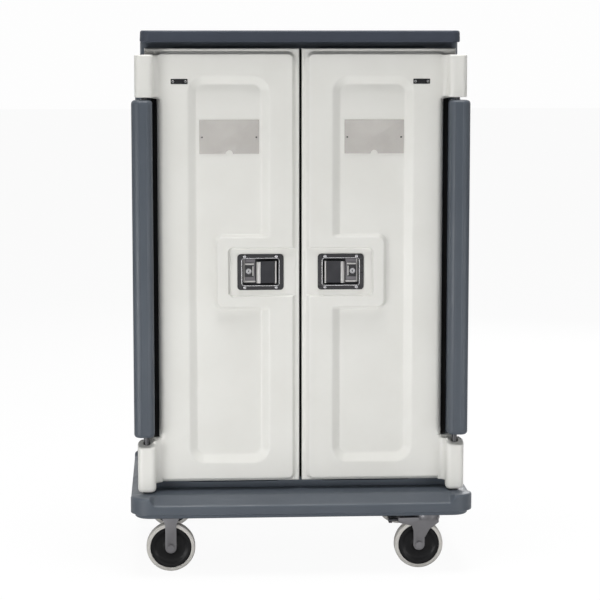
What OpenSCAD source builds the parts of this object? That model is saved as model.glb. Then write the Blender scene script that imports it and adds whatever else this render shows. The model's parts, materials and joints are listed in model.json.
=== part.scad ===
// Enclosed meal tray cart: two compartments, two doors that swing round to the sides, four casters.
// +X is to the right of someone facing the doors, -Y is towards them, Z is up from the floor.

/* [Base] */
// Length of the base, end to end
base_w = 1044; // [980:2:1200]
// Depth of the base, door side to back
base_d = 800; // [760:5:1000]
// Height of the base's lower edge above the floor
base_low = 180; // [172:1:186]
// Height of the base's deck above the floor
base_top = 245; // [236:1:246]
// Radius of the base's corners, seen from above
base_corner_r = 62; // [30:1:90]
// Thickness of the base's hanging skirt
skirt_t = 28; // [15:1:40]

/* [Body] */
// How far the base reaches past the body at each end
deck_margin = 39; // [30:1:60]
// Height of the insulated body, from the base's deck to the roof
body_h = 1369; // [1100:1:1500]
// Thickness of the insulated walls
wall_t = 50; // [35:1:56]
// Thickness of the wall between the compartments
divider_t = 40; // [36:1:60]
// Space behind the back wall, to the edge of the base
back_setback = 66; // [50:1:90]
// Thickness of the roof
roof_t = 35; // [20:1:60]
// How far the roof reaches over the doors
roof_overhang = 62; // [40:1:70]

/* [Tray rails] */
// Distance from ledge to ledge
ledge_pitch = 124; // [80:1:140]
// How far a ledge reaches in
ledge_reach = 20; // [10:1:30]
// Thickness of a ledge at its edge
ledge_t = 6; // [4:1:12]

/* [Doors] */
// Thickness of a door from its face to its back
door_t = 44; // [40:1:50]
// How far the rim of a door lies behind its face
rim_drop = 12; // [6:1:16]
// Gap between the two doors
door_gap = 8; // [8:1:14]
// Height of the door's lower edge above the base's deck
door_lift = 27; // [24:1:36]
// Distance from the door's upper edge to the roof
door_drop = 18; // [14:1:34]
// Depth of the long dished panel
dish_deep = 17; // [8:1:20]
// Thickness of the door seal
seal_t = 4; // [3:0.5:6]

/* [Hinges] */
// Distance of each hinge axis in from the body's side
hinge_in = 11; // [7:1:14]
// Distance of the hinge axis in front of the door's face
axis_ahead = 19; // [18:1:24]
// Width of a hinge knuckle
knuckle_w = 55; // [48:1:60]
// Height of the upper knuckle
upper_knuckle_h = 127; // [100:1:128]
// Height of the lower knuckle at its front
lower_knuckle_h = 139; // [110:1:144]
// Diameter of a hinge pin
pin_d = 16; // [12:0.5:18]
// Running clearance of a hinge pin, on the radius
pin_play = 0.06; // [0.04:0.01:0.1]
// Outer diameter of a hinge bush
bush_d = 24; // [22:0.5:28]

/* [Handle posts] */
// Width of a handle post
post_w = 66; // [60:1:72]
// Gap between the lower knuckle's front and the post above it
post_low_gap = 32; // [26:1:50]
// Gap between the post and the upper knuckle above it
post_high_gap = 8; // [5:1:40]

/* [Latches] */
// Width of a latch plate
pan_w = 141; // [130:1:150]
// Height of a latch plate
pan_h = 110; // [104:1:118]
// Distance from the middle of the cart to the middle of a latch
latch_x = 122.5; // [118:0.5:128]
// Height of the middle of a latch above the door's lower edge
latch_up = 647; // [560:1:700]
// Depth of the dish behind the latch plate
pan_deep = 16; // [12:1:17]
// Width of the paddle
paddle_w = 56; // [48:1:60]
// Height of the paddle
paddle_h = 72; // [60:1:76]

/* [Casters] */
// Diameter of a wheel
wheel_d = 150; // [140:1:151]
// Width of a wheel's tread
wheel_w = 38; // [30:1:40]
// Diameter of the wheel's hard core
core_d = 126; // [110:1:130]
// Diameter of a wheel's axle
axle_d = 12; // [10:0.5:14]
// Distance from the base's end to the fixed wheels' axles
fixed_in = 121; // [110:1:160]
// Distance from the base's end to the swivel axes
swivel_in = 131; // [122:1:170]
// Distance of a swivel axis from its wheel's axle
trail = 28; // [20:1:36]
// Distance from the base's front or back to the middle of its wheels
caster_in = 100; // [92:1:140]

/* [Hidden] */
$fn = 64;
eps = 0.01;
small_gap = 0.3;

// colours
dark_grey = "#4b5059";
pale_cream = "#dcdbd6";
steel = "#9a9da1";
black = "#18181b";
tread_grey = "#a9a49c";

// the base
skirt_h = 20;
seat_z = base_low + skirt_h;
body_w = base_w - 2 * deck_margin;
body_top = base_top + body_h;
axis_x = body_w / 2 - hinge_in;
door_low = base_top + door_lift;
door_high = body_top - door_drop;
pad_w = 76;
facet_low = 39;
facet_back = 32;
edge_r = 8;

// where things lie in depth: the hinge axis comes from the door, which closes on the body
body_front = -238;
door_back_y = body_front - seal_t;
face_y = door_back_y - door_t;
axis_y = face_y - axis_ahead;
body_back = base_d / 2 - back_setback;
body_d = body_back - body_front;
body_corner_r = 26;

// compartments
floor_t = 31;
ceiling_t = 46;
cavity_low = base_top + floor_t;
cavity_high = body_top - ceiling_t;
cavity_outer = body_w / 2 - wall_t;
cavity_inner = divider_t / 2;
cavity_w = cavity_outer - cavity_inner;
cavity_d = body_d - wall_t;
rail_panel_t = 5;
rail_front_gap = 36;
first_ledge = cavity_low + 46;
headroom = 100;
ledge_count = floor((cavity_high - first_ledge - headroom) / ledge_pitch) + 1;

// the door, seen from the front, measured from the middle of the cart
door_in = door_gap / 2;
face_in = door_in + 20;
door_out_mid = axis_x - 38;
mid_edge_r = 20;
door_out_end = axis_x - 2;
face_low = door_low + 13;
face_high = door_high - 19;
face_out = door_out_mid + 2;
knuckle_top_z = face_high;
knuckle_bottom_z = base_top + 4;
lower_slope_rise = 18;
upper_zone_z = knuckle_top_z - upper_knuckle_h;
lower_zone_z = knuckle_bottom_z + lower_knuckle_h + lower_slope_rise + 3;
edge_round = 14;
post_low = knuckle_bottom_z + lower_knuckle_h + post_low_gap;
post_high = upper_zone_z - post_high_gap;
latch_z = door_low + latch_up;
flange_out = axis_x - 22;
flange_back = 18;

// the long dished panel and the raised frame round the latch
dish_out = axis_x - 130;
dish_in = face_in + 71;
dish_high = face_high - 63;
dish_low = face_low + 45;
dish_spread = 1.5;
dish_slope = dish_deep * dish_spread;
dish_r = 50;
frame_out = latch_x + 139.5;
frame_high = latch_z + 114;
frame_low = latch_z - 115;
frame_slope = 8;
frame_r = 26;
pocket_deep = 10;
pocket_out = latch_x + pan_w / 2 + 28;
pocket_high = latch_z + 75;
pocket_low = latch_z - 75;
pocket_r = 14;
well_w = pan_w - 24;
well_h = pan_h - 24;

// latch parts
plate_t = 2.5;
pan_wall = 2;
pan_face_y = face_y + pocket_deep - plate_t;
pan_floor_y = pan_face_y + plate_t + pan_deep;
paddle_t = 5;
paddle_pivot_r = 3;
paddle_pivot_x = latch_x - well_w / 2 + pan_wall + 10;
paddle_pivot_y = pan_face_y + 7;
lock_x = latch_x + 36;
lock_r = 9;
pawl_z = latch_z;
pawl_t = 10;
pawl_pivot_x = latch_x - 44;
pawl_pivot_y = pan_floor_y + 8;
pawl_pin_r = 3;
pawl_boss_r = 7;
pawl_reach = 34;
lip_y = body_front + 7;
lip_t = 3;
lip_out = cavity_inner + 14;
striker_h = 34;
striker_back = 16;

// small plates on the doors
card_w = dish_out - dish_in - 2 * dish_slope - 14;
card_h = 98;
card_t = 2;
card_z = dish_high - 179;
card_middle = (dish_in + dish_out) / 2;
card_shift = 4;
catch_w = 50;
catch_h = 15;
catch_x = dish_out + 24;
catch_z = dish_high - 17;
catch_deep = 2;

// handle posts
post_x = axis_x + 3;
post_nose = 40;
post_r = 21;
post_band_w = 22;
post_band_t = 1.2;
web_in = -6;
post_setback = 14;
post_fit = 0.2;

// casters
fixed_x = base_w / 2 - fixed_in;
swivel_x = base_w / 2 - swivel_in;
caster_y = base_d / 2 - caster_in;
axle_z = wheel_d / 2;
crown_z = wheel_d + 4;
crown_t = 6;
race_r = 37;
plate_w = 104;
plate_d = 112;
caster_plate_t = 6;
race_split = crown_z + crown_t + 12;
race_gap = 0.5;
leg_t = 4;
leg_gap = wheel_w / 2 + 3;
stem_w = 34;
bolt_r = 5;
bolt_in = 12;

// a rectangle with round corners, built from exact squares and circles
module round_rect(w, h, r) {
    square([w - 2 * r, h], center = true);
    square([w, h - 2 * r], center = true);
    for (sx = [-1, 1], sy = [-1, 1])
        translate([sx * (w / 2 - r), sy * (h / 2 - r)]) circle(r);
}

// a solid whose front view is drawn in X and Z and which runs back from y by depth
module from_front(y, depth)
    translate([0, y + depth, 0]) rotate([90, 0, 0]) linear_extrude(depth) children();

// the same on the other side of the cart
module on_side(side) mirror([side > 0 ? 0 : 1, 0, 0]) children();

// a cutter or a boss with round corners whose sides slope in from its outline at y_wide to y_narrow
module sloped_block(x0, x1, z0, z1, r, y_wide, y_narrow, slope) {
    translate([0, 0, z0 + r]) linear_extrude(z1 - z0 - 2 * r)
        polygon([[x0, y_wide], [x1, y_wide], [x1 - slope, y_narrow], [x0 + slope, y_narrow]]);
    translate([x0 + r, 0, 0]) rotate([90, 0, 90]) linear_extrude(x1 - x0 - 2 * r)
        polygon([[y_wide, z0], [y_wide, z1], [y_narrow, z1 - slope], [y_narrow, z0 + slope]]);
    for (x = [x0 + r, x1 - r], z = [z0 + r, z1 - r])
        translate([x, y_wide, z]) rotate([y_wide < y_narrow ? -90 : 90, 0, 0])
            cylinder(r1 = r, r2 = r - slope, h = abs(y_narrow - y_wide));
}

// ---------------------------------------------------------------- base, body and roof

// outline of the base's front face between the pads, cut back to a slanted facet
module facet_cut(rear)
    mirror([0, rear ? 1 : 0, 0])
        translate([-(base_w / 2 - pad_w), 0, 0])
            rotate([90, 0, 90]) linear_extrude(base_w - 2 * pad_w)
                polygon([[-base_d / 2 - 1, base_low + facet_low], [-base_d / 2, base_low + facet_low],
                    [-base_d / 2 + facet_back, base_top], [-base_d / 2 + facet_back, base_top + 1],
                    [-base_d / 2 - 1, base_top + 1]]);

module base_block() {
    lower_r = 20;
    layer_in = 6;
    translate([0, 0, base_low]) linear_extrude(lower_r)
        round_rect(base_w - 2 * layer_in, base_d - 2 * layer_in, base_corner_r - layer_in);
    translate([0, 0, base_low + layer_in]) linear_extrude(base_top - edge_r - base_low - layer_in)
        round_rect(base_w, base_d, base_corner_r);
    translate([0, 0, base_top - edge_r - eps]) linear_extrude(edge_r + eps)
        round_rect(base_w - edge_r, base_d - edge_r, base_corner_r - edge_r / 2);
}

module base() {
    color(dark_grey) difference() {
        base_block();
        // long slanted facets between the corner pads
        facet_cut(false);
        facet_cut(true);
        // the hollow underside, which leaves a skirt and a flat seat for the casters
        translate([0, 0, base_low - 1]) linear_extrude(seat_z - base_low + 1)
            round_rect(base_w - 2 * skirt_t, base_d - 2 * skirt_t, base_corner_r - skirt_t + 4);
        // sockets for the lower hinge pins
        for (side = [-1, 1])
            translate([side * axis_x, axis_y, base_top - pin_seat]) cylinder(d = pin_d + 2 * pin_fit, h = pin_seat + 1);
        for (p = bolt_places)
            translate([p[0], p[1], seat_z - 1]) cylinder(r = bolt_r + bolt_play, h = bolt_hole + 1);
    }
}

pin_seat = 20;
pin_fit = 0.05;
bolt_hole = 26;
bolt_play = 0.3;
plate_places = [[-fixed_x, -caster_y], [-fixed_x, caster_y], [swivel_x, -caster_y], [swivel_x, caster_y]];
bolt_places = [for (p = plate_places, sx = [-1, 1], sy = [-1, 1])
    [p[0] + sx * (plate_w / 2 - bolt_in), p[1] + sy * (plate_d / 2 - bolt_in)]];

module body_shell() {
    notch_in = door_in + 50;
    notch_out = face_out - 50;
    notch_h = 10;
    notch_d = 12;
    notch_slant = 8;
    color(dark_grey) difference() {
        translate([0, (body_front + body_back) / 2, base_top]) linear_extrude(body_top - base_top)
            round_rect(body_w, body_d, body_corner_r);
        for (side = [-1, 1]) {
            on_side(side) translate([cavity_inner, body_front - 1, cavity_low])
                cube([cavity_w, cavity_d + 1, cavity_high - cavity_low]);
            // shallow finger notches over and under each door
            on_side(side) translate([notch_in + 16, body_front - 1, door_low - notch_h])
                cube([notch_out - notch_in - 62, notch_d + 1, notch_h]);
            on_side(side) from_front(body_front - 1, notch_d + 1)
                polygon([[notch_in, door_high + 5 - notch_slant], [notch_in + notch_slant - 2, door_high + 5],
                    [notch_out - notch_slant, door_high + 5], [notch_out, door_high + 5 - notch_slant]]);
            // shallow seat for the magnet that holds the open door
            on_side(side) translate([body_w / 2 - magnet_t, magnet_y, catch_z])
                rotate([0, 90, 0]) linear_extrude(magnet_t + 1) square([magnet_h + 0.2, magnet_w + 0.2], center = true);
        }
    }
}

magnet_t = 6;
magnet_w = 58;
magnet_h = 22;
magnet_y = axis_y + axis_x - catch_x;

module roof() {
    roof_r = 30;
    lip_in = 6;
    roof_front = body_front - roof_overhang;
    roof_d = body_back - roof_front;
    color(dark_grey) translate([0, (roof_front + body_back) / 2, body_top]) {
        linear_extrude(roof_t - lip_in) round_rect(body_w, roof_d, roof_r);
        translate([0, 0, roof_t - lip_in - eps]) linear_extrude(lip_in + eps)
            round_rect(body_w - lip_in, roof_d - lip_in, roof_r - lip_in / 2);
    }
}

// two panels of ledges in one compartment, which the trays slide onto
module rail_panel() {
    panel_d = cavity_d - rail_front_gap;
    panel_h = cavity_high - cavity_low - 2;
    translate([0, body_front + rail_front_gap, cavity_low]) cube([rail_panel_t, panel_d, panel_h]);
    for (i = [0 : ledge_count - 1])
        translate([rail_panel_t - eps, body_front + rail_front_gap + panel_d, first_ledge + i * ledge_pitch])
            rotate([90, 0, 0]) linear_extrude(panel_d)
                polygon([[0, 0], [ledge_reach, 0], [ledge_reach, -ledge_t], [0, -ledge_t - ledge_reach * 0.7]]);
}

module tray_rails(side) {
    color(pale_cream) on_side(side) {
        translate([cavity_inner, 0, 0]) rail_panel();
        translate([cavity_outer, 0, 0]) mirror([1, 0, 0]) rail_panel();
    }
}

// ---------------------------------------------------------------- handle posts

// section of a post: a broad nose, flat at the front, that the open door swings round
module post_nose_section() {
    difference() {
        round_rect(post_w, 2 * post_nose, post_r);
        // shallow band down the middle of the front
        translate([-post_band_w / 2, -post_nose - 1]) square([post_band_w, post_band_t + 1]);
    }
}

module front_post_section() {
    back = body_front - axis_y;
    post_nose_section();
    // the web behind the nose, which stays clear of the door's edge as it turns
    polygon([[web_in, 0], [post_w / 2, 0], [post_w / 2, 6], [body_w / 2 - post_x - 1, back], [web_in, back]]);
}

module front_post(side) {
    color(dark_grey) on_side(side) difference() {
        translate([post_x, axis_y, post_low]) linear_extrude(post_high - post_low) front_post_section();
        for (z = [post_low - 1, post_high - pin_seat])
            translate([axis_x, axis_y, z]) cylinder(d = pin_d + 2 * pin_fit, h = pin_seat + 1);
    }
}

module rear_post(side) {
    color(dark_grey) on_side(side) difference() {
        translate([post_x, base_d / 2 - post_setback - post_nose, post_low])
            linear_extrude(post_high - post_low) mirror([0, 1]) {
                post_nose_section();
                translate([-post_w / 2 + 18, 0]) square([post_w - 18, post_nose + 12]);
            }
        translate([0, (body_front + body_back) / 2, post_low - 1]) linear_extrude(post_high)
            round_rect(body_w + 2 * post_fit, body_d + 2 * post_fit, body_corner_r + post_fit);
    }
}

// ---------------------------------------------------------------- doors

// plan of a hinge knuckle and the cove that blends it into the door's face
module knuckle_plan() {
    r = knuckle_w / 2;
    flat_r = 16;
    cove = 20;
    to_face = axis_ahead + edge_round;
    translate([axis_x, axis_y]) {
        for (sx = [-1, 1]) translate([sx * (r - flat_r), -r + flat_r]) circle(flat_r);
        translate([-r + flat_r, -r]) square([2 * (r - flat_r), r]);
        translate([-r, -r + flat_r]) square([2 * r, r - flat_r]);
        circle(r);
        translate([-r, 0]) square([r, to_face]);
        difference() {
            translate([-r - cove, axis_ahead - cove]) square([cove + 1, cove + 2]);
            translate([-r - cove, axis_ahead - cove]) circle(cove);
        }
        translate([-r - cove, axis_ahead]) square([r + cove, door_t - edge_round]);
    }
}

// outline of a door from the front: full width at the ends, cut back where the post stands
module door_outline(inner, low, high, outer_end, outer_mid, r) {
    difference() {
        union() {
            translate([inner, low]) square([outer_mid - inner, high - low]);
            translate([outer_mid - r, low]) square([outer_end - outer_mid + r, lower_zone_z - low]);
            translate([outer_mid - r, upper_zone_z]) square([outer_end - outer_mid + r, high - upper_zone_z]);
        }
        for (end = [0, 1])
            translate([inner, end ? high : low]) mirror([0, end, 0]) difference() {
                square([2 * r, 2 * r], center = true);
                translate([r, r]) circle(r);
            }
    }
}

module door_solid() {
    difference() {
        union() {
            // the rim and the back of the door
            from_front(face_y + rim_drop, door_t - rim_drop)
                door_outline(door_in, door_low, door_high, door_out_end, door_out_mid, 10);
            // the raised face
            from_front(face_y, rim_drop + 1)
                door_outline(face_in, face_low, face_high, face_out, door_out_mid, 16);
        }
        // the edge beside the handle post is rounded off
        translate([door_out_mid, face_y, lower_zone_z]) linear_extrude(upper_zone_z - lower_zone_z) difference() {
            translate([-mid_edge_r, -1]) square([mid_edge_r + 1, mid_edge_r + 1]);
            translate([-mid_edge_r, mid_edge_r]) circle(mid_edge_r);
        }
    }
    // the flange that carries the seal past the handle post
    from_front(door_back_y - flange_back, flange_back)
        translate([door_out_mid - 1, door_low]) square([flange_out - door_out_mid + 1, door_high - door_low]);
    translate([0, 0, upper_zone_z]) linear_extrude(upper_knuckle_h) knuckle_plan();
    difference() {
        translate([0, 0, knuckle_bottom_z]) linear_extrude(lower_zone_z - knuckle_bottom_z) knuckle_plan();
        // the top of the lower knuckle slopes down to the front
        translate([axis_x - knuckle_w, axis_y - knuckle_w / 2, knuckle_bottom_z + lower_knuckle_h])
            rotate([atan(lower_slope_rise / (knuckle_w / 2 + axis_ahead)), 0, 0])
                translate([-1, -knuckle_w, 0]) cube([2 * knuckle_w, 3 * knuckle_w, knuckle_w]);
        // below the door only the knuckle itself hangs down
        translate([0, axis_y + knuckle_w / 2, 0]) cube([axis_x + knuckle_w, base_d, door_low]);
        translate([0, axis_y - knuckle_w, 0]) cube([axis_x - knuckle_w / 2, base_d, door_low]);
    }
}

module door(side) {
    over = dish_spread;
    color(pale_cream) on_side(side) difference() {
        union() {
            difference() {
                door_solid();
                // the dish: its sides carry on a little way in front of the face
                sloped_block(dish_in - over, dish_out + over, dish_low - over, dish_high + over, dish_r + over,
                    face_y - 1, face_y + dish_deep, dish_slope + over);
            }
            sloped_block(face_in + 10, frame_out, frame_low, frame_high, frame_r,
                face_y + dish_deep + 1, face_y, frame_slope);
        }
        // pocket for the latch, open to the inner edge
        from_front(face_y - 1, pocket_deep + 1) {
            translate([0, pocket_low]) square([pocket_out - pocket_r, pocket_high - pocket_low]);
            translate([pocket_out - 2 * pocket_r, latch_z])
                round_rect(4 * pocket_r, pocket_high - pocket_low, pocket_r);
        }
        from_front(face_y, door_t + 1)
            translate([latch_x, latch_z]) square([well_w + 1, well_h + 1], center = true);
        // mouth that the pawl swings in, from the well to the door's back
        translate([latch_x - well_w / 2 - pawl_reach, pan_floor_y, latch_z - pawl_t / 2 - 3])
            cube([pawl_reach + 1, door_back_y - pan_floor_y + 1, pawl_t + 6]);
        // seats for the catch plate and the hinge bushes
        from_front(face_y - 1, catch_deep + 1)
            translate([catch_x, catch_z]) square([catch_w + 0.6, catch_h + 0.6], center = true);
        for (z = bush_ends)
            translate([axis_x, axis_y, z]) cylinder(d = bush_d + 2 * pin_fit, h = bush_len + 1);
        translate([axis_x, axis_y, 0]) cylinder(d = pin_d + 4, h = body_top);
        for (p = screw_places(side))
            translate([p[0], face_y - 1, p[1]]) rotate([-90, 0, 0]) cylinder(r = screw_hole_r, h = p[2] + 1);
    }
}

bush_len = 30;
lower_bush_top = knuckle_bottom_z + lower_knuckle_h - bush_len - 8;
bush_ends = [knuckle_bottom_z - 1, lower_bush_top, upper_zone_z - 1, knuckle_top_z - bush_len];
screw_hole_r = 1.7;
screw_len = 12;
// places of the screws that hold the latch plate, the card holder and the catch plate: x, z, depth
function card_x(side) = card_middle + side * card_shift;
function screw_places(side) = concat(
    [for (sx = [-1, 1], sz = [-1, 1])
        [latch_x + sx * (pan_w / 2 - 8), latch_z + sz * (pan_h / 2 - 7), pocket_deep + screw_len]],
    [for (sx = [-1, 1]) [card_x(side) + sx * (card_w / 2 - 8), card_z + card_h / 2 - 9, dish_deep + screw_len]],
    [for (sx = [-1, 1]) [catch_x + sx * (catch_w / 2 - 6), catch_z, catch_deep + screw_len]]);
screw_heads = concat([for (i = [0 : 3]) pan_face_y], [for (i = [0 : 1]) face_y + dish_deep - card_t],
    [for (i = [0 : 1]) face_y]);

module door_screws(side) {
    head_r = 3.6;
    head_t = 1.4;
    places = screw_places(side);
    color(steel) on_side(side) for (i = [0 : len(places) - 1])
        translate([places[i][0], screw_heads[i], places[i][1]]) rotate([-90, 0, 0]) {
            translate([0, 0, -(i < 6 ? head_t : 0)]) cylinder(r = head_r, h = i < 6 ? head_t : plate_flush);
            cylinder(r = screw_hole_r - 0.05, h = screw_len - 4);
        }
}

plate_flush = 0.8;

module door_seal(side) {
    seal_w = 11;
    seal_in = door_in + 2;
    seal_out = flange_out - 3;
    color(black) on_side(side) from_front(door_back_y, seal_t) difference() {
        translate([seal_in, door_low + 1]) square([seal_out - seal_in, door_high - 9 - door_low]);
        translate([seal_in + seal_w, door_low + 1 + seal_w])
            square([seal_out - seal_in - 2 * seal_w, door_high - 9 - door_low - 2 * seal_w]);
    }
}

module hinge_bushes(side) {
    color(black) on_side(side) for (i = [0 : 3]) {
        z = bush_ends[i];
        shift = i % 2 == 0 ? 1 : 0;
        translate([axis_x, axis_y, z + shift]) difference() {
            cylinder(d = bush_d, h = bush_len - shift);
            translate([0, 0, -1]) cylinder(d = pin_d + 2 * pin_play, h = bush_len + 2);
        }
    }
}

module hinge_pins(side) {
    lower_end = base_top - pin_seat + 1;
    upper_end = knuckle_top_z - 4;
    color(steel) on_side(side) {
        translate([axis_x, axis_y, lower_end]) cylinder(d = pin_d, h = post_low + pin_seat - 2 - lower_end);
        translate([axis_x, axis_y, post_high - pin_seat + 2]) cylinder(d = pin_d, h = upper_end - post_high + pin_seat - 2);
        // washers that carry the door
        translate([axis_x, axis_y, base_top]) difference() {
            cylinder(d = bush_d, h = knuckle_bottom_z - base_top - small_gap);
            translate([0, 0, 1]) cylinder(d = pin_d - 1, h = knuckle_bottom_z);
        }
    }
}

module card_holder(side) {
    color("#c9cccd", 0.6) on_side(side) from_front(face_y + dish_deep - card_t, card_t - 0.02)
        translate([card_x(side), card_z]) difference() {
            square([card_w, card_h], center = true);
            for (sx = [-1, 1]) translate([sx * (card_w / 2 - 8), card_h / 2 - 9]) circle(screw_hole_r + 0.1);
            translate([0, -card_h / 2 - 4]) circle(16);
        }
}

module catch_plate(side) {
    color(black) on_side(side) from_front(face_y, catch_deep - 0.02)
        translate([catch_x, catch_z]) difference() {
            square([catch_w, catch_h], center = true);
            for (sx = [-1, 1]) translate([sx * (catch_w / 2 - 6), 0]) circle(4);
        }
}

module side_magnet(side) {
    color(black) on_side(side)
        translate([body_w / 2 - magnet_t + 0.05, magnet_y, catch_z]) rotate([0, 90, 0])
            linear_extrude(magnet_t + 1) square([magnet_h, magnet_w], center = true);
}

// ---------------------------------------------------------------- latches

module latch_pan(side) {
    color(steel) on_side(side) translate([latch_x, 0, latch_z]) difference() {
        union() {
            from_front(pan_face_y, plate_t - 0.02) round_rect(pan_w, pan_h, 10);
            from_front(pan_face_y + 1, plate_t + pan_deep - 1) round_rect(well_w, well_h, 8);
        }
        from_front(pan_face_y - 1, plate_t + pan_deep - pan_wall + 1)
            round_rect(well_w - 2 * pan_wall, well_h - 2 * pan_wall, 6);
        translate([lock_x - latch_x, 0, 0]) from_front(pan_face_y, 60) circle(lock_r + 0.06);
        for (sx = [-1, 1], sz = [-1, 1])
            translate([sx * (pan_w / 2 - 8), 0, sz * (pan_h / 2 - 7)])
                from_front(pan_face_y - 1, 10) circle(screw_hole_r + 0.1);
        // the paddle's pin runs from cheek to cheek
        translate([paddle_pivot_x - latch_x, paddle_pivot_y, -well_h / 2 - 1])
            cylinder(r = paddle_pivot_r + 0.05, h = well_h + 2);
        // slot that the paddle's tail works through
        translate([paddle_pivot_x - latch_x - 1, pan_floor_y - pan_wall - 1, -10]) cube([16, pan_wall + 2, 20]);
    }
}

module latch_case(side) {
    case_y = pan_floor_y;
    case_d = door_back_y - case_y - 0.5;
    color(steel) on_side(side) translate([latch_x, 0, latch_z]) difference() {
        from_front(case_y, case_d) square([well_w, well_h], center = true);
        from_front(case_y - 1, case_d - 1.5 + 1) square([well_w - 4, well_h - 4], center = true);
        // mouth for the pawl
        translate([-well_w / 2 - 1, case_y + 2, -pawl_t / 2 - 3]) cube([64, case_d + 5, pawl_t + 6]);
    }
    // ears for the pawl's pin
    color(steel) on_side(side) for (sz = [-1, 1])
        translate([pawl_pivot_x, 0, latch_z + sz * (pawl_t / 2 + 5)]) difference() {
            translate([-8, case_y, -2]) cube([16, case_d - 1, 4]);
            translate([0, pawl_pivot_y, -5]) cylinder(r = pawl_pin_r + 0.05, h = 10);
        }
}

module paddle(side) {
    reach = paddle_w;
    color(black) on_side(side) {
        translate([paddle_pivot_x, paddle_pivot_y, latch_z]) {
            cylinder(r = paddle_pivot_r, h = well_h - 0.4, center = true);
            cylinder(r = paddle_pivot_r + 2, h = paddle_h, center = true);
            translate([reach / 2, -3, 0]) rotate([90, 0, 0]) linear_extrude(paddle_t, center = true)
                round_rect(reach, paddle_h, 5);
            // rolled lip at the free edge
            translate([reach - 3, -3.5, 0]) cylinder(r = 3, h = paddle_h - 8, center = true);
        }
    }
}

module lock_plug(side) {
    nose_y = pan_floor_y - pan_wall - 5;
    color(steel) on_side(side) translate([lock_x, 0, latch_z]) difference() {
        union() {
            from_front(nose_y, pan_floor_y + 9 - nose_y) circle(lock_r);
            // the cam, which turns to block the pawl
            from_front(pan_floor_y + 4, 4) {
                circle(10);
                translate([-5, 0]) square([10, 24]);
            }
        }
        from_front(nose_y - 1, 4) square([2, 9], center = true);
    }
}

module pawl(side) {
    beak_y = lip_y + lip_t + 1;
    color(steel) on_side(side) translate([0, 0, pawl_z]) {
        translate([pawl_pivot_x, pawl_pivot_y, 0]) cylinder(r = pawl_pin_r, h = pawl_t + 16, center = true);
        linear_extrude(pawl_t, center = true) {
            translate([pawl_pivot_x, pawl_pivot_y]) circle(pawl_boss_r);
            polygon([[pawl_pivot_x + 4, pawl_pivot_y + 5.7], [pawl_pivot_x - 5, pawl_pivot_y - 4.9],
                [lip_out + 14, beak_y - 6], [lip_out + 1, beak_y],
                [lip_out + 1, beak_y + 5], [lip_out + 12, beak_y + 9]]);
        }
    }
}

module striker(side) {
    color(steel) on_side(side) translate([0, 0, latch_z - striker_h / 2]) {
        translate([cavity_inner, lip_y, 0]) cube([2.5, striker_back, striker_h]);
        translate([cavity_inner, lip_y, 0]) cube([lip_out - cavity_inner, lip_t, striker_h]);
    }
}

// ---------------------------------------------------------------- casters

// one cheek of a swivel fork, seen from the front round its axle: broad at the crown, narrow at the axle
module swivel_cheek(left, right, top) {
    circle(stem_w / 2);
    translate([-stem_w / 2, 0]) square([stem_w, top]);
    polygon([[-stem_w / 2, 44], [-stem_w / 2 - 5, 60], [-left, 70], [-left, top], [right, top],
        [right, 70], [stem_w / 2 + 15, 48], [stem_w / 2 + 2, 24], [-stem_w / 2, 24]]);
}

// one cheek of a fixed fork: a straight strap that flares to its plate
module fixed_cheek(flare, top) {
    circle(stem_w / 2);
    translate([-stem_w / 2, 0]) square([stem_w, top]);
    polygon([[-stem_w / 2, top - 42], [-flare, top - 6], [-flare, top], [flare, top], [flare, top - 6],
        [stem_w / 2, top - 42]]);
}

// two cheeks with a crown across them; the children draw one cheek
module fork(left, right, crown) {
    for (sy = [-1, 1])
        translate([0, sy * (leg_gap + leg_t / 2) + leg_t / 2, axle_z]) rotate([90, 0, 0]) linear_extrude(leg_t)
            difference() {
                children();
                circle(axle_d / 2 + 0.05);
            }
    translate([-left, -leg_gap - leg_t, crown]) cube([left + right, 2 * (leg_gap + leg_t), crown_t]);
}

module bolt_drill()
    for (sx = [-1, 1], sy = [-1, 1])
        translate([sx * (plate_w / 2 - bolt_in), sy * (plate_d / 2 - bolt_in), -1])
            cylinder(r = bolt_r + bolt_play, h = caster_plate_t + 2);

module top_plate()
    translate([0, 0, seat_z - caster_plate_t]) difference() {
        linear_extrude(caster_plate_t) round_rect(plate_w, plate_d, 10);
        bolt_drill();
    }

module fixed_fork(y) {
    flare = 34;
    crown = seat_z - caster_plate_t - crown_t;
    color(steel) translate([-fixed_x, y, 0]) {
        fork(flare, flare, crown) fixed_cheek(flare, crown + 1 - axle_z);
        top_plate();
    }
}

module swivel_plate(y) {
    color(steel) translate([swivel_x, y, 0]) {
        top_plate();
        translate([0, 0, race_split + race_gap])
            cylinder(r = race_r, h = seat_z - caster_plate_t - race_split - race_gap + eps);
        translate([0, 0, crown_z - 2]) cylinder(r = king_r, h = seat_z - crown_z);
    }
}

king_r = 10;
fork_tail = 64;

module swivel_fork(y) {
    color(steel) translate([swivel_x - trail, y, 0]) difference() {
        union() {
            fork(fork_tail, trail + race_r - 4, crown_z)
                swivel_cheek(fork_tail, trail + race_r - 4, crown_z + 1 - axle_z);
            translate([trail, 0, crown_z]) cylinder(r = race_r + 1, h = race_split - crown_z);
        }
        translate([trail, 0, crown_z - 5]) cylinder(r = king_r + 0.08, h = 40);
        // slot that the brake pedal works in
        translate([-fork_tail - 1, -16, crown_z - 1]) cube([20, 32, crown_t + 2]);
    }
    // the brake pedal's hinge pin
    color(steel) translate([swivel_x - trail - pedal_x, y, pedal_z]) rotate([90, 0, 0])
        cylinder(r = 2.5, h = 2 * (leg_gap + leg_t) - 1, center = true);
}

pedal_x = 57;
pedal_z = crown_z - 4;

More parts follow.
